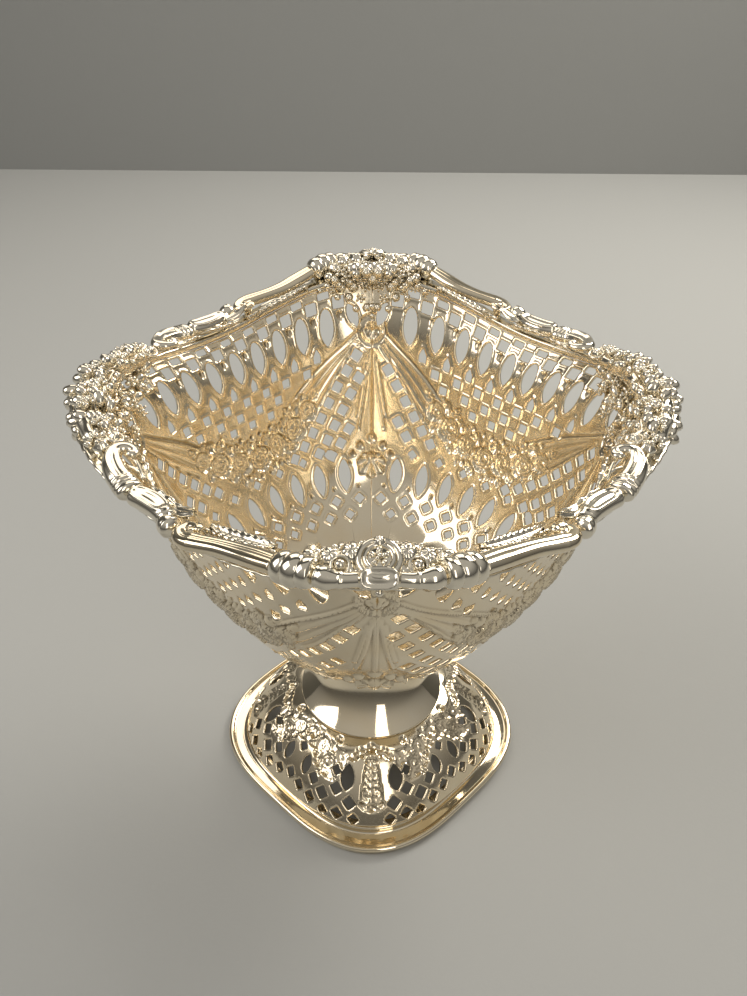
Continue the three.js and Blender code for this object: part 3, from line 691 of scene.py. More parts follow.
def turned(section, steps, squareness):
    """A closed section turned about the upright axis, eased to a soft square."""
    bm = bmesh.new()
    verts = [bm.verts.new((x, 0, z)) for x, z in section]
    edges = [bm.edges.new((a, b)) for a, b in zip(verts, verts[1:] + verts[:1])]
    bmesh.ops.spin(
        bm, geom=verts + edges, axis=(0, 0, 1), cent=(0, 0, 0), angle=TAU, steps=steps,
        use_merge=True,
    )
    for vert in bm.verts:
        ratio = float(soft_square(math.atan2(vert.co.y, vert.co.x), squareness))
        vert.co.x *= ratio
        vert.co.y *= ratio
    return closed(bm)


def oval(wide, tall, turn):
    """Radius of an oval bar, at a turn round it."""
    return wide * tall / np.hypot(tall * np.cos(turn), wide * np.sin(turn))


def squarish(x, y):
    """Distance from the middle of a rounded field."""
    return (np.abs(x) ** 3 + np.abs(y) ** 3) ** (1 / 3)


def round_ends(share, start, end):
    """Rounds a bar off over its first and last parts."""
    head, tail = ramp(share, 0, start), ramp(share, 1, -end)
    return np.sqrt(1 - (1 - head) ** 2) * np.sqrt(1 - (1 - tail) ** 2)


def along_line(line, run=None):
    """Gives places of a line by share of its points, or of its run."""
    share = np.linspace(0, 1, len(line))

    def at(s):
        knots = s if run is None else np.interp(s, run, share)
        return np.stack([np.interp(knots, share, line[:, k]) for k in range(3)], -1)

    return at


def path(places, start=0, up=0):
    """A curve over the far right quarter, through places given as along, out and up."""
    line = spline(quarter_place(*(np.array(places, float) + (start, 0, up)).T), 400)
    steps = np.linalg.norm(np.diff(line, axis=0), axis=1)
    run = np.concatenate([[0], np.cumsum(steps)])
    return along_line(line, run / run[-1])


def mirrored(make, name, finish="cast_silver"):
    """Makes a border piece in each quarter."""
    for depth, side_y in (("far", 1), ("near", -1)):
        for flank, side_x in (("right", 1), ("left", -1)):
            bm = make()
            bmesh.ops.scale(bm, vec=(side_x, side_y, 1), verts=bm.verts)
            if side_x * side_y < 0:
                bmesh.ops.reverse_faces(bm, faces=bm.faces)
            finished(f"cast_{name}_{depth}_{flank}", bm, finish, "cast_silver",
                     f"border_{name}_{depth}_{flank}")


# Finishes

class Graph:
    """The nodes of a material or of the world."""

    def __init__(self, owner, end):
        owner.use_nodes = True
        self.tree = owner.node_tree
        self.end = self.tree.nodes[end]

    def feed(self, node, inputs):
        """Sets a node's inputs, or links them to other nodes."""
        for key, value in inputs.items():
            if isinstance(value, bpy.types.NodeSocket):
                self.tree.links.new(value, node.inputs[key])
            else:
                node.inputs[key].default_value = value

    def add(self, kind, output, inputs=(), **options):
        """Adds a node and gives one of its outputs."""
        node = self.tree.nodes.new("ShaderNode" + kind)
        for key, value in options.items():
            setattr(node, key, value)
        self.feed(node, dict(inputs))
        return node.outputs[output]

    def remap(self, value, *ends):
        keys = ("From Min", "From Max", "To Min", "To Max")
        return self.add("MapRange", "Result", {"Value": value, **dict(zip(keys, ends))})


def silver(name, colour, roughness, tarnish, amount, scratch):
    """Polished silver with tarnish in its hollows and fine wear on its skin."""
    graph = Graph(bpy.data.materials.new(name), "Principled BSDF")
    place = graph.add("TexCoord", "Object")

    def noise(scale, detail):
        return graph.add("TexNoise", "Fac", {"Scale": scale, "Detail": detail, "Vector": place})

    def mix(one, two, factor):
        inputs = {"A": one, "B": two, "Factor": factor}
        return graph.add("Mix", "Result", inputs, data_type="RGBA")

    recess = graph.add("Attribute", "Fac", attribute_name="recess")
    deep = graph.remap(recess, 0.015, 0.16, 0.0, amount)
    blotch = graph.remap(noise(240, 4), 0.3, 0.7, 0.7, 1.1)
    stain = graph.add("Math", 0, {0: deep, 1: blotch}, operation="MULTIPLY")
    warm = (colour[0] * 0.97, colour[1] * 0.9, colour[2] * 0.78, 1)
    skin = mix((*colour, 1), warm, graph.remap(noise(70, 3), 0.35, 0.75, 0.0, 0.7))
    rough = graph.remap(noise(900, 5), 0.3, 0.7, roughness * 0.75, roughness * 1.35)
    worn = graph.add("Math", 0, {0: stain, 1: 0.3, 2: rough}, operation="MULTIPLY_ADD")
    wear = {"Strength": scratch, "Distance": 0.00002, "Height": noise(2200, 4)}
    graph.feed(graph.end, {
        "Metallic": 1.0,
        "Base Color": mix(skin, (*tarnish, 1), stain),
        "Roughness": worn,
        "Normal": graph.add("Bump", "Normal", wear),
    })


def plain(name, colour, grain):
    """A matt floor or wall with a faint grain."""
    material = bpy.data.materials.new(name)
    graph = Graph(material, "Principled BSDF")
    place = graph.add("TexCoord", "Object")
    noise = graph.add("TexNoise", "Fac", {"Scale": grain, "Vector": place})
    bump = graph.add("Bump", "Normal", {"Strength": 0.12, "Distance": 0.0005, "Height": noise})
    graph.feed(graph.end, {"Roughness": 0.75, "Base Color": (*colour, 1), "Normal": bump})
    return material


# Cast flowers and leaves

def plate(columns, rows, rule, thickness):
    """A curved plate. The rule turns shares across and along into places of the border."""
    bm, column, row = grid(columns, rows)
    closed(bm, quarter_place(*rule(column / columns * 2 - 1, row / rows)))
    bmesh.ops.solidify(bm, geom=bm.faces[:], thickness=thickness)
    bmesh.ops.recalc_face_normals(bm, faces=bm.faces)
    return bm


def globe(columns, rows, radius=1.0):
    bm = bmesh.new()
    bmesh.ops.create_uvsphere(bm, u_segments=columns, v_segments=rows, radius=radius)
    return bm


def plump_petal(wide, thick, cup):
    """A full petal one unit long that grows along y, with raised edges and a notched tip."""
    bm = globe(12, 7, 0.5)
    for vert in bm.verts:
        x, y, z = vert.co
        share = y + 0.5
        x *= wide * (0.62 + 0.5 * share)
        notch = 0.14 * math.exp(-((x / 0.2) ** 2)) * share**3
        vert.co = (x, share * 1.06 - notch, z * thick + 0.3 * share**2 + cup * x * x * share)
    return kept(bm)


def bud():
    """A round bud set with small grains."""
    bm = globe(36, 20)
    for vert in bm.verts:
        turn = math.atan2(vert.co.y, vert.co.x)
        rise = math.asin(max(-1, min(1, vert.co.z)))
        vert.co *= 1 + 0.13 * abs(math.sin(turn * 3) * math.sin(rise * 4 + 0.8)) ** 0.7
    return kept(bm)


def ring():
    """A round ring one unit across its middle line."""
    bm, column, row = grid(28, 8)
    tube = TAU * row / 8
    return kept(closed(bm, around(TAU * column / 28, 1 + 0.2 * np.cos(tube), 0.2 * np.sin(tube))))


def stamp(bm, mesh, matrix):
    """Adds a copy of a small mesh."""
    before = len(bm.verts)
    bm.from_mesh(mesh)
    bm.verts.ensure_lookup_table()
    bmesh.ops.transform(bm, matrix=matrix, verts=bm.verts[before:])


def joined(*parts):
    """Puts a few shapes into one."""
    bm = bmesh.new()
    for part in parts:
        mesh = kept(part)
        bm.from_mesh(mesh)
        bpy.data.meshes.remove(mesh)
    return bm


def facing(place, direction, heading=0.0):
    """Stands a shape at a place with its z along a direction."""
    turn = Vector((0, 0, 1)).rotation_difference(Vector(direction)).to_matrix().to_4x4()
    return Matrix.Translation(Vector(place)) @ turn @ Matrix.Rotation(heading, 4, "Z")


class Castings:
    """Small shapes that the border's bunches are put together from."""

    def __init__(self):
        self.petal = plump_petal(0.84, 0.72, 0.2)
        self.slim = plump_petal(0.56, 0.6, 0.2)
        ball = kept(globe(12, 8))
        self.shapes = {
            "flame": plump_petal(0.9, 0.8, 0.0), "bead": ball, "bud": bud(), "ring": ring()
        }

    def flower(self, bm, where, petal, rings, height, heart):
        """Rings of petals round a heart. A ring has a count, tilt, length, start and shift."""
        for count, tilt, length, start, shift in rings:
            for i in range(count):
                spin = Matrix.Rotation(start + TAU * i / count, 4, "Z")
                lean = Matrix.Rotation(tilt, 4, "X")
                stamp(bm, petal, where @ spin @ Matrix.Translation((0, shift, 0)) @ lean
                      @ Matrix.Scale(length, 4))
        stamp(bm, self.shapes["bead"],
              where @ Matrix.Translation((0, 0, height)) @ Matrix.Scale(heart, 4))

    def add(self, bm, kind, where, size):
        if kind == "flame":
            where = where @ Matrix.Rotation(0.12, 4, "X")
        where = where @ Matrix.Scale(size, 4)
        if kind == "rose":
            rings = ((5, 0.1, 0.8, 0.0, 0.24), (3, 0.75, 0.62, 0.5, 0.1))
            self.flower(bm, where, self.petal, rings, 0.4, 0.24)
        elif kind == "daisy":
            self.flower(bm, where, self.slim, ((5, 0.25, 0.9, 0.0, 0.2),), 0.2, 0.36)
        else:
            stamp(bm, self.shapes[kind], where)


# Settings

def length(name, about, default):
    return bpy.props.FloatProperty(
        name=name, description=about, default=default, unit="LENGTH", subtype="DISTANCE"
    )


def factor(name, about, default):
    return bpy.props.FloatProperty(
        name=name, description=about, default=default, subtype="FACTOR"
    )


def cells(name, about, default):
    return bpy.props.IntProperty(name=name, description=about, default=default)


def colour(name, about, *default):
    return bpy.props.FloatVectorProperty(
        name=name, description=about, default=default, size=3, subtype="COLOR"
    )


def power(name, about, default):
    return bpy.props.FloatProperty(
        name=name, description=about, default=default, unit="POWER"
    )


class BasketBowlSizes(bpy.types.PropertyGroup):
    """Sizes of the pierced bowl."""

    sheet: length("Sheet", "Thickness of the silver sheet", 0.00055)
    edge_height: length("Raised edges", "Height of the raised line round each hole", 0.00032)
    depth: factor("Depth", "Depth of the chased ornament, as a share", 1.0)
    columns: cells("Columns", "Mesh cells across a quarter of the bowl", 232)
    rows: cells("Rows", "Mesh cells up the pierced wall", 164)


class BasketFootSizes(bpy.types.PropertyGroup):
    """Sizes of the spreading foot."""

    sheet: length("Sheet", "Thickness of the pierced dome", 0.0008)
    edge_height: length("Raised edges", "Height of the raised line round each hole", 0.0004)
    depth: factor("Depth", "Depth of the chased ornament, as a share", 1.0)
    rows: cells("Rows", "Mesh cells down the dome", 66)
    lip: length("Lip", "Radius of the rolled edge of the foot", 0.0009)


class BasketBorderSizes(bpy.types.PropertyGroup):
    """Sizes of the cast border."""

    rod: length("Rod", "Radius of the long plain rods", 0.0021)
    collar: length("Collar", "Radius of the ribbed collars", 0.0031)
    spoon: length("Spoon", "Radius of the spoon-shaped scrolls", 0.0029)
    scroll: length("Scroll", "Radius of the open scrolls", 0.002)
    flower: length("Flower", "Radius of the largest flowers", 0.0046)


class BasketFinishes(bpy.types.PropertyGroup):
    """Colours and polish of the silver."""

    sheet_colour: colour("Sheet colour", "Colour of the chased sheet", 0.90, 0.80, 0.62)
    cast_colour: colour("Cast colour", "Colour of the cast border", 0.88, 0.75, 0.53)
    plain_colour: colour("Plain colour", "Colour of the mirror-polished parts", 0.89, 0.80, 0.63)
    tarnish: colour("Tarnish", "Colour of the tarnish in the hollows", 0.15, 0.11, 0.06)
    amount: factor("Amount", "How much tarnish is left in the hollows", 0.8)


class BasketStageLook(bpy.types.PropertyGroup):
    """The floor, the wall and the light."""

    floor: colour("Floor", "Colour of the floor", 0.46, 0.465, 0.455)
    wall: colour("Wall", "Colour of the wall behind", 0.33, 0.333, 0.325)
    key: power("Key light", "Power of the main lamp", 3.2)
    fill: power("Fill light", "Power of the second lamp", 1.3)
    room: factor("Room", "Brightness of the room overhead", 0.5)


# Operators

class BASKET_OT_finishes(bpy.types.Operator):
    """Make the silver finishes"""

    bl_idname = "basket.finishes"
    bl_label = "Silver finishes"

    def execute(self, context):
        look = context.scene.basket_finishes
        silver("chased_silver", look.sheet_colour, 0.13, look.tarnish, look.amount, 0.25)
        silver("cast_silver", look.cast_colour, 0.14, look.tarnish, look.amount, 0.3)
        silver("mirror_silver", look.plain_colour, 0.06, look.tarnish, 0.5, 0.1)
        return {"FINISHED"}


class BASKET_OT_bowl(bpy.types.Operator):
    """Make the pierced bowl, a quarter at a time"""

    bl_idname = "basket.bowl"
    bl_label = "Bowl"

    def execute(self, context):
        sizes = context.scene.basket_bowl
        pattern = bowl_pattern(sizes.edge_height / MM)
        start, plain_rows, end = 0.4, 40, bowl_section.length - 0.15
        angles = np.linspace(0, QUARTER, sizes.columns + 1)
        alongs = np.concatenate([
            np.linspace(start, PLAIN_END, plain_rows)[:-1],
            np.linspace(PLAIN_END, end, sizes.rows + 1),
        ])
        sheet = flat_sheet(pattern, angles, alongs)
        for i, name in enumerate(("right_far", "far_left", "left_near", "near_right")):
            bm = raised_sheet(
                sheet, bowl_place, pattern, i * QUARTER, sizes.sheet / MM, sizes.depth
            )
            piece = finished(f"bowl_{name}", bm, "chased_silver", "pierced_silver")
            if i == 0:
                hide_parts("bowl")
        bpy.data.meshes.remove(sheet)
        return {"FINISHED"}


class BASKET_OT_rim(bpy.types.Operator):
    """Make the moulded strip under the border"""

    bl_idname = "basket.rim"
    bl_label = "Rim strip"

    def execute(self, context):
        steps = 480
        section = [
            (-0.14, 0), (0.0, -0.3), (0.2, 0.1), (0.5, 0.8), (0.74, 1.1), (0.84, 1.35),
            (0.82, 1.6), (0.72, 1.7), (0.62, 1.62), (0.5, 1.76), (0.3, 1.8), (0.0, 1.74),
            (-0.12, 1.7), (-0.18, 1.3), (-0.18, 0.5),
        ]
        bm, column, row = grid(steps, len(section))
        share, up = np.array(section + section[:1])[row].T
        angle = TAU * column / steps
        width = BAND_WIDTH * (0.85 + 0.25 * np.cos(4 * angle))
        crimp = 1 + 0.03 * np.cos(angle * 120) * (share > 0.7)
        closed(bm, border_place(angle, share * width * crimp, up - BAND_THICKNESS))
        finished("rim_strip", bm, "cast_silver", "cast_silver", "rim_band")
        return {"FINISHED"}


class BASKET_OT_neck(bpy.types.Operator):
    """Make the polished neck"""

    bl_idname = "basket.neck"
    bl_label = "Neck"

    def execute(self, context):
        wall = 1.0
        shares = [(0, 1), (0.04, 0.78), (0.2, 0.46), (0.52, 0.19), (1, 0)]
        outer = spline(spread(NECK_RADIUS, NECK_FLARE, NECK_FOOT, NECK_TOP, shares), 48)
        lip = [(NECK_FLARE, NECK_FOOT + 0.05), (NECK_FLARE - 0.5, NECK_FOOT)]
        inner = [
            (x - wall * 0.9, max(z - wall * 0.25, NECK_FOOT)) for x, z in outer[::-1][2:-1]
        ]
        section = [*outer[:-1], *lip, *inner, (NECK_RADIUS - wall, NECK_TOP)]
        bm = turned(section, 144, 0.0)
        finished("neck", bm, "mirror_silver", "polished_silver", "foot_neck")
        return {"FINISHED"}


class BASKET_OT_dome(bpy.types.Operator):
    """Make the pierced dome of the foot"""

    bl_idname = "basket.dome"
    bl_label = "Foot dome"

    def execute(self, context):
        sizes = context.scene.basket_foot
        quarter_cells = 130
        pattern = dome_pattern(sizes.edge_height / MM)
        angles = np.linspace(0, TAU, 4 * quarter_cells + 1)
        alongs = np.linspace(0.1, dome_section.length - 0.1, sizes.rows + 1)
        sheet = flat_sheet(pattern, angles, alongs)
        bm = raised_sheet(sheet, dome_place, pattern, 0, sizes.sheet / MM, sizes.depth)
        finished("pierced_dome", bm, "chased_silver", "pierced_silver", "foot_dome")
        bpy.data.meshes.remove(sheet)
        return {"FINISHED"}


class BASKET_OT_flange(bpy.types.Operator):
    """Make the plain flange with its rolled edge"""

    bl_idname = "basket.flange"
    bl_label = "Flange"

    def execute(self, context):
        lip = context.scene.basket_foot.lip / MM
        edge = FOOT_RADIUS - lip
        shelf = DOME_RADIUS + 0.4
        dish = shelf + (edge - lip - shelf) * 0.45
        roll = [
            (edge + lip * math.cos(a), 2.0 + lip * math.sin(a))
            for a in np.linspace(math.pi * 0.82, -math.pi * 0.35, 14)
        ]
        top = spline([
            (DOME_RADIUS - 2, FLANGE_HEIGHT), (shelf, FLANGE_HEIGHT), (shelf + 0.7, 2.7),
            (dish, 2.3), (edge - lip * 1.5, 2.15),
        ], 40)
        section = [
            *top, *roll, (edge + 0.2, 0), (edge - 1.0, 0), (edge - 1.6, 0.5), (dish, 1.0),
            (shelf, 2.4), (DOME_RADIUS - 2, FLANGE_HEIGHT - 1),
        ]
        bm = turned(section, 240, FOOT_SQUARENESS)
        finished("flange", bm, "mirror_silver", "polished_silver", "foot_flange")
        return {"FINISHED"}


class BASKET_OT_collars(bpy.types.Operator):
    """Make the four ribbed collars"""

    bl_idname = "basket.collars"
    bl_label = "Collars"

    def execute(self, context):
        radius = context.scene.basket_border.collar / MM
        places = [(0, 5.9, 0.2), (4, 5.2, 0), (ROD_START - COLLAR_START, 4.2, -0.5)]
        line = path(places, COLLAR_START, radius)

        def size(share, turn):
            swell = 0.74 + 0.18 * hump(share) + 0.05 * share
            rings = 0.17 * np.abs(np.sin((share + 0.04 * np.cos(turn - 1)) * math.pi * 3.2)) ** 0.5
            return radius * (swell + rings) * round_ends(share, 0.1, 0.1)

        mirrored(lambda: swept(line, size, 56, 72), "collar")
        return {"FINISHED"}


class BASKET_OT_rods(bpy.types.Operator):
    """Make the four long rods"""

    bl_idname = "basket.rods"
    bl_label = "Rods"

    def execute(self, context):
        radius = context.scene.basket_border.rod / MM
        start = ROD_START + SOLDER_GAP
        line = path([
            (-1, 4.4, 0.6), (4, 3.1, 0.2), (9, 2.6, -0.1), (14, 3.0, 0), (19, 4.2, 0.2),
            (22.6, 4.9, 0.4), (24.9, 3.6, 0.6), (24.3, 1.2, 0.8), (21.8, 0.9, 1.0),
            (21.4, 2.3, 1.2),
        ], start, radius)
        eye = path([(21.2, 2.9, -0.6), (23.9, 2.7, -0.4)], start, radius)

        def size(share, turn):
            top = turn - QUARTER
            groove = 0.12 * bell(top, 0, 0.36) * ramp(share, 0.8, -0.1)
            ridge = 0.05 * bell(np.abs(top), 0.86, 0.2)
            body = oval(radius * (1.12 + 0.12 * np.sin(share * 9)), radius * 0.8, turn)
            taper = (1 - 0.56 * ramp(share, 0.66, 0.2)) * round_ends(share, 0.02, 0.05)
            return body * taper * (1 - groove + ridge)

        def dish(share, turn):
            return 2.1 * hump(share, 0.5)

        def rod():
            return joined(swept(line, size, 150, 60), swept(eye, dish, 14, 20))

        mirrored(rod, "rod", "mirror_silver")
        return {"FINISHED"}


class BASKET_OT_leaves(bpy.types.Operator):
    """Make the four acanthus leaves beside the rods"""

    bl_idname = "basket.leaves"
    bl_label = "Acanthus leaves"

    def execute(self, context):
        middle = ROD_START + ROD_LENGTH * 0.45
        edge = path([(-10, -0.9, 0.9), (-4, -1.4, 0.9), (4, -1.4, 0.9), (13, -0.9, 0.9)], middle)

        def rule(across, along):
            lobes = 0.74 + 0.26 * np.abs(np.sin(along * 5 * math.pi)) ** 0.5
            wide = 1.75 * np.sin(math.pi * np.clip(along, 0.02, 0.98)) ** 0.6 * lobes
            veins = 0.16 * np.sin(along * 20 * math.pi - np.abs(across) * 5) * np.abs(across)
            curl = 0.8 * np.abs(across) * (1 - across**2) - 0.5 * np.minimum(across, 0)
            return middle + (along - 0.5) * 19, across * wide - 2.0, 1.5 + veins + curl

        def pearls(share, turn):
            return 0.62 * (0.75 + 0.25 * np.abs(np.sin(share * 34))) * round_ends(share, 0.03, 0.03)

        mirrored(lambda: joined(plate(18, 64, rule, 0.6), swept(edge, pearls, 130, 10)), "leaf")
        return {"FINISHED"}


class BASKET_OT_spoons(bpy.types.Operator):
    """Make the four spoon-shaped scrolls"""

    bl_idname = "basket.spoons"
    bl_label = "Spoon scrolls"

    def execute(self, context):
        radius = context.scene.basket_border.spoon / MM
        line = path([
            (-0.9, 4.0, 2.4), (1.5, 3.7, 2.5), (4.5, 2.3, 2.6), (8.5, 1.7, 2.7), (12.5, 2.0, 2.7),
            (16.9, 3.2, 2.6),
        ], SPOON_START)
        places = [(0.5, -1.0, 1.0), (5.5, -1.7, 1.9), (10.5, -1.6, 2.3), (16.5, -1.5, 2.6)]
        blade = path(places, SPOON_START)

        def size(share, turn):
            knob = 0.42 + 0.4 * hump(share / 0.25, 0.7)
            knob = knob + 0.1 * bell(share, 0.265, 0.014) + 0.06 * bell(share, 0.07, 0.014)
            bowl = oval(0.92, 0.8, turn) * (0.84 + 0.16 * np.sin((share - 0.3) / 0.7 * math.pi))
            field = squarish((share - 0.645) / 0.34, (turn - 1.55) / 0.95)
            grown = radius * (1 + 0.12 * bell(field, 0.9, 0.12) - 0.2 * bell(field, 0, 0.76, 6))
            return np.where(share < 0.28, knob, bowl) * grown * round_ends(share, 0.05, 0.1)

        def corner_leaf(across, along):
            wide = 2.3 * hump(along * 0.94 + 0.03, 0.75) * (1 - 0.5 * along)
            veins = 0.14 * np.cos(across * 9 + along * 3)
            curl = 1.6 * along**2 - 0.5 * across**2
            return SPOON_START + 5.1 - along * 7.6, across * wide - 0.7, 3.6 + veins + curl

        def spoon():
            return joined(
                swept(line, size, 150, 96), swept(blade, leaf_blade, 60, 20),
                plate(14, 24, corner_leaf, 0.6),
            )

        mirrored(spoon, "spoon")
        return {"FINISHED"}


def leaf_blade(share, turn):
    """Section of a slender leaf on edge, with lobes along it."""
    wide = 1.15 * (1 + 0.22 * np.sin(share * 26)) * hump(share, 0.5)
    return oval(wide + 1e-6, 0.42 * wide + 1e-6, turn - 0.9)


class BASKET_OT_scrolls(bpy.types.Operator):
    """Make the four open scrolls"""

    bl_idname = "basket.scrolls"
    bl_label = "Open scrolls"

    def execute(self, context):
        radius = context.scene.basket_border.scroll / MM
        line = path([
            (-0.6, 2.6, 0), (2.5, 2.4, 0), (6.5, 2.3, 0.2), (11, 1.2, 0.4), (14.4, -1.0, 0.6),
            (14.6, -3.4, 0.8), (12.6, -4.5, 1.0), (11.0, -3.6, 1.3), (11.6, -2.4, 1.5),
        ], SCROLL_START, radius + 0.5)
        places = [(-1, -2.2, 2.0), (3, -3.2, 2.6), (8, -4.4, 2.6), (13, -5.4, 2.4)]
        blade = path(places, SCROLL_START)
        stems = [
            path([(13.4, -3.0, 3.2), (9, -3.4, 2.7), (3, -1.8, 2.2)], SCROLL_START),
            path([(10.0, -1.2, 2.2), (7, -2.4, 2.4), (2, -2.8, 1.8)], SCROLL_START),
        ]

        def size(share, turn):
            body = oval(1.6 - 0.4 * ramp(share, 0, 0.45), 1.08, turn)
            body = body - 0.62 * ramp(share, 0.45, 0.4)
            fade = ramp(share, 0.72, -0.2) * ramp(share, 0.16, 0.08)
            channel = 0.24 * bell(turn, 1.4, 0.42) * fade
            edges = 0.1 * bell(np.abs(turn - 1.4), 0.76, 0.16) * fade
            rings = 0.1 * np.cos(share * 120) * bell(share, 0.14, 0.06)
            return radius * (body * (1 - channel) + edges + rings) * round_ends(share, 0.04, 0.05)

        def stem(share, turn):
            return 0.5 * hump(share, 0.3)

        def scroll():
            return joined(
                swept(line, size, 170, 84), swept(blade, leaf_blade, 60, 20),
                *[swept(way, stem, 24, 10) for way in stems],
            )

        mirrored(scroll, "scroll")
        return {"FINISHED"}


class BASKET_OT_sprays(bpy.types.Operator):
    """Make the bunches of flowers over the four corners"""

    bl_idname = "basket.sprays"
    bl_label = "Flower sprays"

    def execute(self, context):
        size = context.scene.basket_border.flower / MM
        castings = Castings()
        for name, middle, spray in (
            ("right", 0, long_spray), ("left", math.pi, long_spray),
            ("far", QUARTER, short_spray), ("near", -QUARTER, short_spray),
        ):
            bm = spray(castings, middle, size)
            finished(f"spray_{name}", bm, "cast_silver", "cast_silver", f"border_spray_{name}")
        return {"FINISHED"}


def spray_spot(middle, along, out, up, lean=0):
    """A place on a spray, and the way a flower there faces. Lean is outward, or inward below 0."""
    angle = middle + along / BORDER_RADIUS
    return border_place(angle, out, up), (lean * math.cos(angle), lean * math.sin(angle), 1.0)


def hanging_spot(middle, along, level, lift):
    """A place on the bowl's inner face under a spray, and the way in from it."""
    angle = np.array(middle + along / (BORDER_RADIUS - 6))
    face, place = [
        lifted(bowl_place, angle, np.array(level), np.array(-SPRAY_INSET - depth))
        for depth in (0, lift)
    ]
    return place, place - face


class Bunch:
    """A bunch of cast flowers over one corner."""

    def __init__(self, castings, middle, size, *beds):
        self.castings, self.middle, self.size = castings, middle, size
        self.bm = joined(*beds)

    def put(self, kind, where, scale):
        self.castings.add(self.bm, kind, where, self.size * scale)

    def over(self, kind, along, out, up, lean, scale, heading=0.0):
        """Adds a casting over the rim."""
        self.put(kind, facing(*spray_spot(self.middle, along, out, up, lean), heading), scale)

    def hung(self, kind, along, level, lift, scale, heading=0.0):
        """Adds a casting on the wall inside the rim."""
        self.put(kind, facing(*hanging_spot(self.middle, along, level, lift), heading), scale)


def spray_bed(middle, reach, out, up, radius):
    """The solid bar that a row of flowers grows from."""
    places = [spray_spot(middle, s * reach, out, up)[0] for s in np.linspace(-1, 1, 9)]

    def size(share, turn):
        return radius * round_ends(share, 0.12, 0.12) * (1 + 0.1 * np.sin(40 * share))

    return swept(along_line(spline(places, 80)), size, 60, 16)


def long_spray(castings, middle, size):
    """Rows of blunt petals and roses over the rim, with flowers on the wall inside it."""
    bunch = Bunch(
        castings, middle, size, spray_bed(middle, 22.5, 1.8, 1.7, 2.3),
        spray_bed(middle, 22.5, -1.8, 1.2, 2.1), spray_bed(middle, 17, 4.2, 0.5, 1.6),
    )
    rows = [
        (6.4, 0.2, 2.4, 18.5, 11, 0.66), (4.8, 2.4, 0.8, 20.5, 11, 0.76),
        (2.0, 4.2, 0.2, 21.5, 11, 0.78), (-1.4, 4.1, -0.5, 21.5, 11, 0.74),
        (-3.8, 2.5, -1.3, 20.0, 10, 0.64),
    ]
    for row, (out, up, lean, reach, count, scale) in enumerate(rows):
        for i in range(count):
            t = 2 * (i + 0.25 + 0.5 * (row % 2)) / count - 1
            along = t * reach + 0.8 * math.sin(5.1 * i + 2.3 * row)
            rise = up * (1 - 0.25 * t * t) + 0.6 * math.sin(3.7 * i + row)
            fan = middle - QUARTER - 0.7 * t + 0.6 * math.sin(4.1 * i + row)
            grown = scale * (1 + 0.18 * math.sin(7.7 * i + row))
            bunch.over("flame", along, out * (1 - 0.4 * t * t) - 1.2, rise, lean, grown, fan)
    for i in range(6):
        t = 2 * i / 5 - 1
        bunch.over("rose", 18 * t, 0.8 - 2.4 * (i % 2), 4.8 - 0.9 * t * t, 0.1, 0.56, 2.4 * i)
    for level, reach, count, scale in (
        (106.0, 18.0, 7, 0.5), (101.6, 14.5, 5, 0.46), (97.6, 8.0, 3, 0.4),
    ):
        for i in range(count):
            t = 2 * i / (count - 1) - 1
            kind = "rose" if i % 2 else "daisy"
            bunch.hung(kind, t * reach, level + 1.2 * t * t, 0.5, scale, 1.9 * i)
    for i in range(15):
        t = 2 * i / 14 - 1
        level = 103.0 + 3.5 * t * t + math.sin(4.4 * i)
        bunch.hung("flame", t * 18, level, 0.3, 0.8, 3.1 * i + 0.4 * math.sin(9 * i))
    for side in (1, -1):
        for kind, along, out, up, lean, scale in (
            ("ring", 23.0, -2.8, 2.8, -0.3, 0.42), ("bud", 23.0, -2.8, 2.8, -0.3, 0.3),
            ("rose", 22.4, 1.4, 2.6, 0.3, 0.66), ("bud", 24.2, 0.6, 1.8, 0.1, 0.42),
        ):
            bunch.over(kind, side * along, out, up, lean, scale)
    return bunch.bm


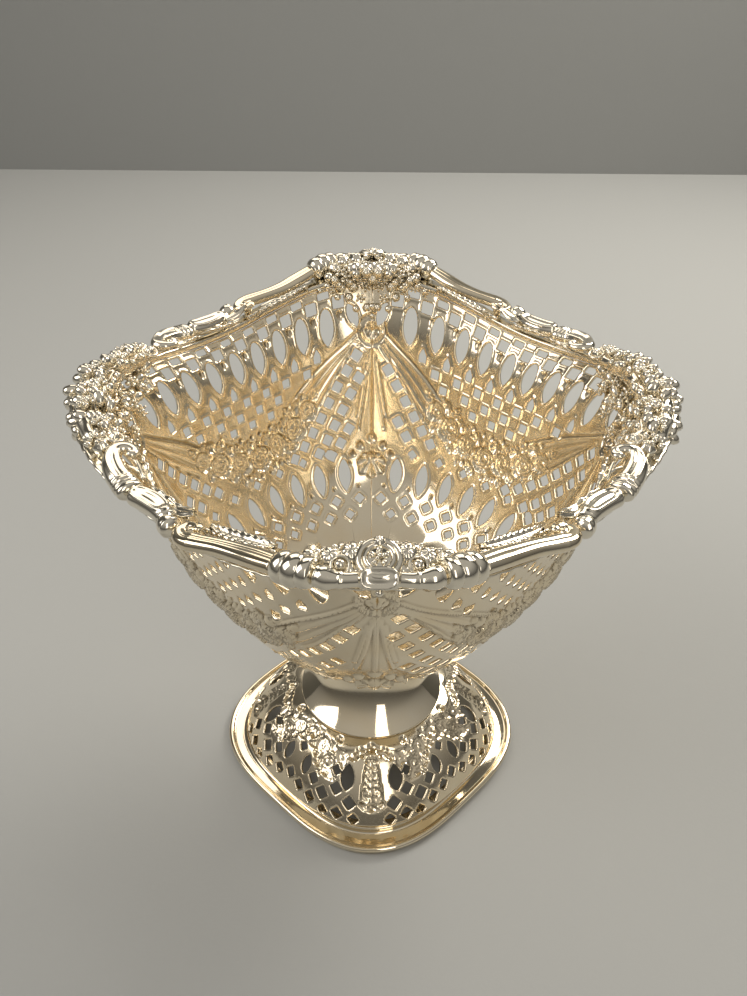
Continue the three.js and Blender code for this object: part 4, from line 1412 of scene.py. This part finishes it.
def short_spray(castings, middle, size):
    """A ringed knob over a plump boss outside, and buds hanging inside."""
    bunch = Bunch(
        castings, middle, size, spray_bed(middle, 8, 3.4, 2.4, 2.3),
        spray_bed(middle, 8, -1.2, 2.6, 2.3), boss_plate(middle),
        *[taper_scroll(middle, side) for side in (1, -1)],
    )
    knob = facing(*spray_spot(middle, 0, 3.3, 5.2, 0.4))
    stamp(bunch.bm, castings.shapes["bead"],
          knob @ Matrix.Diagonal((size * 0.8, size * 0.8, 1.1, 1)))
    for kind, up, scale in (("ring", 0.3, 0.8), ("ring", 0.8, 0.56), ("rose", 0.9, 0.42)):
        bunch.put(kind, knob @ Matrix.Translation((0, 0, up)), scale)
    bunch.over("bead", 0, 7.8, 1.3, 1, 0.17)
    for side in (1, -1):
        for kind, along, out, up, lean, scale in [
            ("bud", 4.9, 1.3, 4.3, 0.3, 0.5), ("bud", 8.6, 2.0, 3.7, 0.3, 0.48),
            ("ring", 6.6, 4.4, 4.6, 0.7, 0.36), ("bead", 6.6, 4.4, 4.7, 0.7, 0.24),
            ("bud", 11.4, 1.8, 2.6, 0.0, 0.38), ("rose", 2.6, -1.4, 3.8, -0.5, 0.54),
            ("daisy", 6.6, -1.4, 3.1, -0.5, 0.5), ("rose", 10.2, -1.0, 2.4, -0.5, 0.46),
            ("bead", 13.6, -0.8, 1.4, -0.6, 0.34), ("bud", 1.8, -3.2, 2.2, -1.2, 0.36),
            ("bead", 5.2, -2.9, 1.8, -1.2, 0.36), ("daisy", 8.6, -2.6, 1.2, -1.1, 0.38),
            ("bud", 12.0, -2.0, 0.6, -1.0, 0.3), ("daisy", 3.8, -2.6, -0.4, -2.0, 0.34),
            ("bud", 0.2, -2.8, 0.0, -2.0, 0.34), ("bead", 7.2, -2.2, -0.8, -2.0, 0.3),
            ("bead", 10.6, -1.8, -1.2, -2.0, 0.32), ("bead", 14.2, -1.2, -1.0, -1.6, 0.26),
        ]:
            bunch.over(kind, side * along, out, up, lean, scale, along)
        for kind, along, level, scale in [
            ("daisy", 1.8, 106.6, 0.34), ("bud", 5.4, 106.8, 0.32), ("bead", 8.8, 107.0, 0.28),
            ("daisy", 12.2, 107.4, 0.3), ("rose", 3.4, 103.6, 0.34), ("bud", 7.0, 104.0, 0.28),
            ("bead", 10.4, 104.6, 0.24), ("bud", 1.6, 101.0, 0.26), ("bead", 5.0, 100.8, 0.26),
            ("bead", 15.4, 107.8, 0.2),
        ]:
            bunch.hung(kind, side * along, level, 0.5, scale, along)
    bunch.hung("bead", 0, 101.2, 0.8, 0.24)
    bunch.hung("bead", 0, 98.8, 0.8, 0.19)
    for along, up in ((-1.6, 5.9), (0, 7.0), (1.6, 5.9)):
        bunch.over("bud", along, 0.5, up, 0, 0.24)
    return bunch.bm


def boss_plate(middle):
    """The plump oval boss with a raised rim that the corner's outer side ends in."""
    bm, column, row = grid(72, 64)
    across, turn = column / 72 * 2 - 1, TAU * row / 64
    field = squarish(across / 0.84, (turn - 2.4) / 0.95)
    rim = 0.22 * bell(field, 0.88, 0.1) - 0.2 * bell(field, 0, 0.7, 8)
    size = 2.4 * np.sqrt(np.maximum(1 - np.abs(across) ** 3, 0)) ** 0.7 * (1 + rim)
    return closed(bm, border_place(
        middle + across * 4.0 / BORDER_RADIUS, 6.0 - size * np.cos(turn),
        3.2 + size * np.sin(turn) * 0.94,
    ))


def taper_scroll(middle, side):
    """The swelling bar between the boss and a collar."""
    places = [
        spray_spot(middle, side * along, out, up)[0]
        for along, out, up in [(2.4, 6.2, 3.2), (5.4, 6.6, 3.1), (8.4, 6.4, 3.0), (10.8, 5.9, 3.1)]
    ]

    def size(share, turn):
        swell = 1.45 + 0.85 * bell(share, 0.74, 0.22)
        rings = 0.22 * bell(share, 0.42, 0.03) + 0.2 * bell(share, 0.9, 0.03)
        return (swell + rings) * round_ends(share, 0.06, 0.06)

    return swept(along_line(spline(places, 60)), size, 60, 40)


class BASKET_OT_stage(bpy.types.Operator):
    """Make the floor, the wall, the lamps and the camera"""

    bl_idname = "basket.stage"
    bl_label = "Stage"

    def execute(self, context):
        scene = context.scene
        look = scene.basket_stage
        scene.view_settings.view_transform = "Standard"
        flat("floor", plain("floor_paint", look.floor, 900), (0, 0.2, 0), 1.6, 0)
        flat("wall", plain("wall_paint", look.wall, 300), (0, 0.601, 0.8), 1.6, QUARTER)
        lamp("key", (0.42, 0.42, 0.55), 0.34, look.key, (1.0, 0.95, 0.86))
        lamp("fill", (-0.5, -0.1, 0.5), 0.4, look.fill, (1.0, 0.97, 0.93))
        lamp("front", (0.2, -0.6, 0.45), 0.55, look.fill * 0.6, (1.0, 0.93, 0.82), 0.2)
        lamp("back", (-0.08, 0.48, 0.52), 0.42, look.key * 0.3, (1.0, 0.93, 0.82))
        scene.world = bpy.data.worlds.new("room")
        room = Graph(scene.world, "Background")
        split = room.add("SeparateXYZ", "Z", {0: room.add("TexCoord", "Generated")})
        room.feed(room.end, {
            "Color": (0.86, 0.83, 0.77, 1),
            "Strength": room.remap(split, 0.05, 0.75, 0.12, look.room),
        })
        camera = bpy.data.cameras.new("camera")
        camera.sensor_fit = "HORIZONTAL"
        camera.sensor_width = SENSOR_WIDTH
        camera.lens = SENSOR_WIDTH * FOCAL_LENGTH / PHOTO_WIDTH
        camera.clip_start = 0.01
        scene.camera = linked("camera", camera)
        scene.camera.matrix_world = camera_place()
        return {"FINISHED"}


def camera_place():
    """Looks down at the basket from in front, as the photograph does. In metres."""
    pitch, yaw, roll = 36.7 * DEGREE, 0.99 * DEGREE, 0.74 * DEGREE
    forward = Vector(
        (math.sin(yaw) * math.cos(pitch), math.cos(yaw) * math.cos(pitch), -math.sin(pitch))
    )
    right = Vector((math.cos(yaw), -math.sin(yaw), 0))
    up = right.cross(forward)
    side = right * math.cos(roll) + up * math.sin(roll)
    top = up * math.cos(roll) - right * math.sin(roll)
    turn = Matrix((side, top, -forward)).transposed().to_4x4()
    return Matrix.Translation((-0.0033, -0.194, 0.240)) @ turn


def flat(name, material, place, half, tilt):
    """A square sheet of the stage."""
    bm = bmesh.new()
    bmesh.ops.create_grid(bm, x_segments=1, y_segments=1, size=half)
    bmesh.ops.rotate(bm, verts=bm.verts, matrix=Matrix.Rotation(tilt, 3, "X"))
    bmesh.ops.translate(bm, verts=bm.verts, vec=place)
    mesh = kept(bm, name)
    mesh.materials.append(material)
    piece = linked(name, mesh)


def lamp(name, place, size, power, colour, width=None):
    """An area lamp that is aimed at the middle of the basket."""
    data = bpy.data.lights.new(name, "AREA")
    data.shape = "RECTANGLE"
    data.size = width or size
    data.size_y = size
    data.energy = power
    data.color = colour
    stand = linked(name, data)
    stand.location = place
    aim = Vector((0, 0, 0.08)) - Vector(place)
    stand.rotation_euler = aim.to_track_quat("-Z", "Y").to_euler()


class BASKET_PT_panel(bpy.types.Panel):
    """Lists the basket's sizes and makes its pieces"""

    bl_idname = "BASKET_PT_panel"
    bl_label = "Pierced basket"
    bl_space_type = "VIEW_3D"
    bl_region_type = "UI"
    bl_category = "Basket"

    def draw(self, context):
        for group in GROUPS:
            box = self.layout.box()
            settings = getattr(context.scene, group)
            for key in settings.bl_rna.properties.keys():
                if key not in ("rna_type", "name"):
                    box.prop(settings, key)
        for operator in MAKERS:
            self.layout.operator(operator.bl_idname)


GROUPS = {
    "basket_finishes": BasketFinishes,
    "basket_bowl": BasketBowlSizes,
    "basket_foot": BasketFootSizes,
    "basket_border": BasketBorderSizes,
    "basket_stage": BasketStageLook,
}
MAKERS = (
    BASKET_OT_finishes, BASKET_OT_bowl, BASKET_OT_rim, BASKET_OT_neck, BASKET_OT_dome,
    BASKET_OT_flange, BASKET_OT_collars, BASKET_OT_rods, BASKET_OT_leaves, BASKET_OT_spoons,
    BASKET_OT_scrolls, BASKET_OT_sprays, BASKET_OT_stage,
)


def register():
    for group in (*GROUPS.values(), *MAKERS, BASKET_PT_panel):
        bpy.utils.register_class(group)
    for name, group in GROUPS.items():
        setattr(bpy.types.Scene, name, bpy.props.PointerProperty(type=group))


def unregister():
    for name in GROUPS:
        delattr(bpy.types.Scene, name)
    for group in reversed((*GROUPS.values(), *MAKERS, BASKET_PT_panel)):
        bpy.utils.unregister_class(group)


def main():
    register()
    bpy.ops.basket.finishes()
    bpy.ops.basket.bowl()
    bpy.ops.basket.rim()
    bpy.ops.basket.neck()
    bpy.ops.basket.dome()
    bpy.ops.basket.flange()
    bpy.ops.basket.collars()
    bpy.ops.basket.rods()
    bpy.ops.basket.leaves()
    bpy.ops.basket.spoons()
    bpy.ops.basket.scrolls()
    bpy.ops.basket.sprays()
    bpy.ops.basket.stage()


if __name__ == "__main__":
    main()
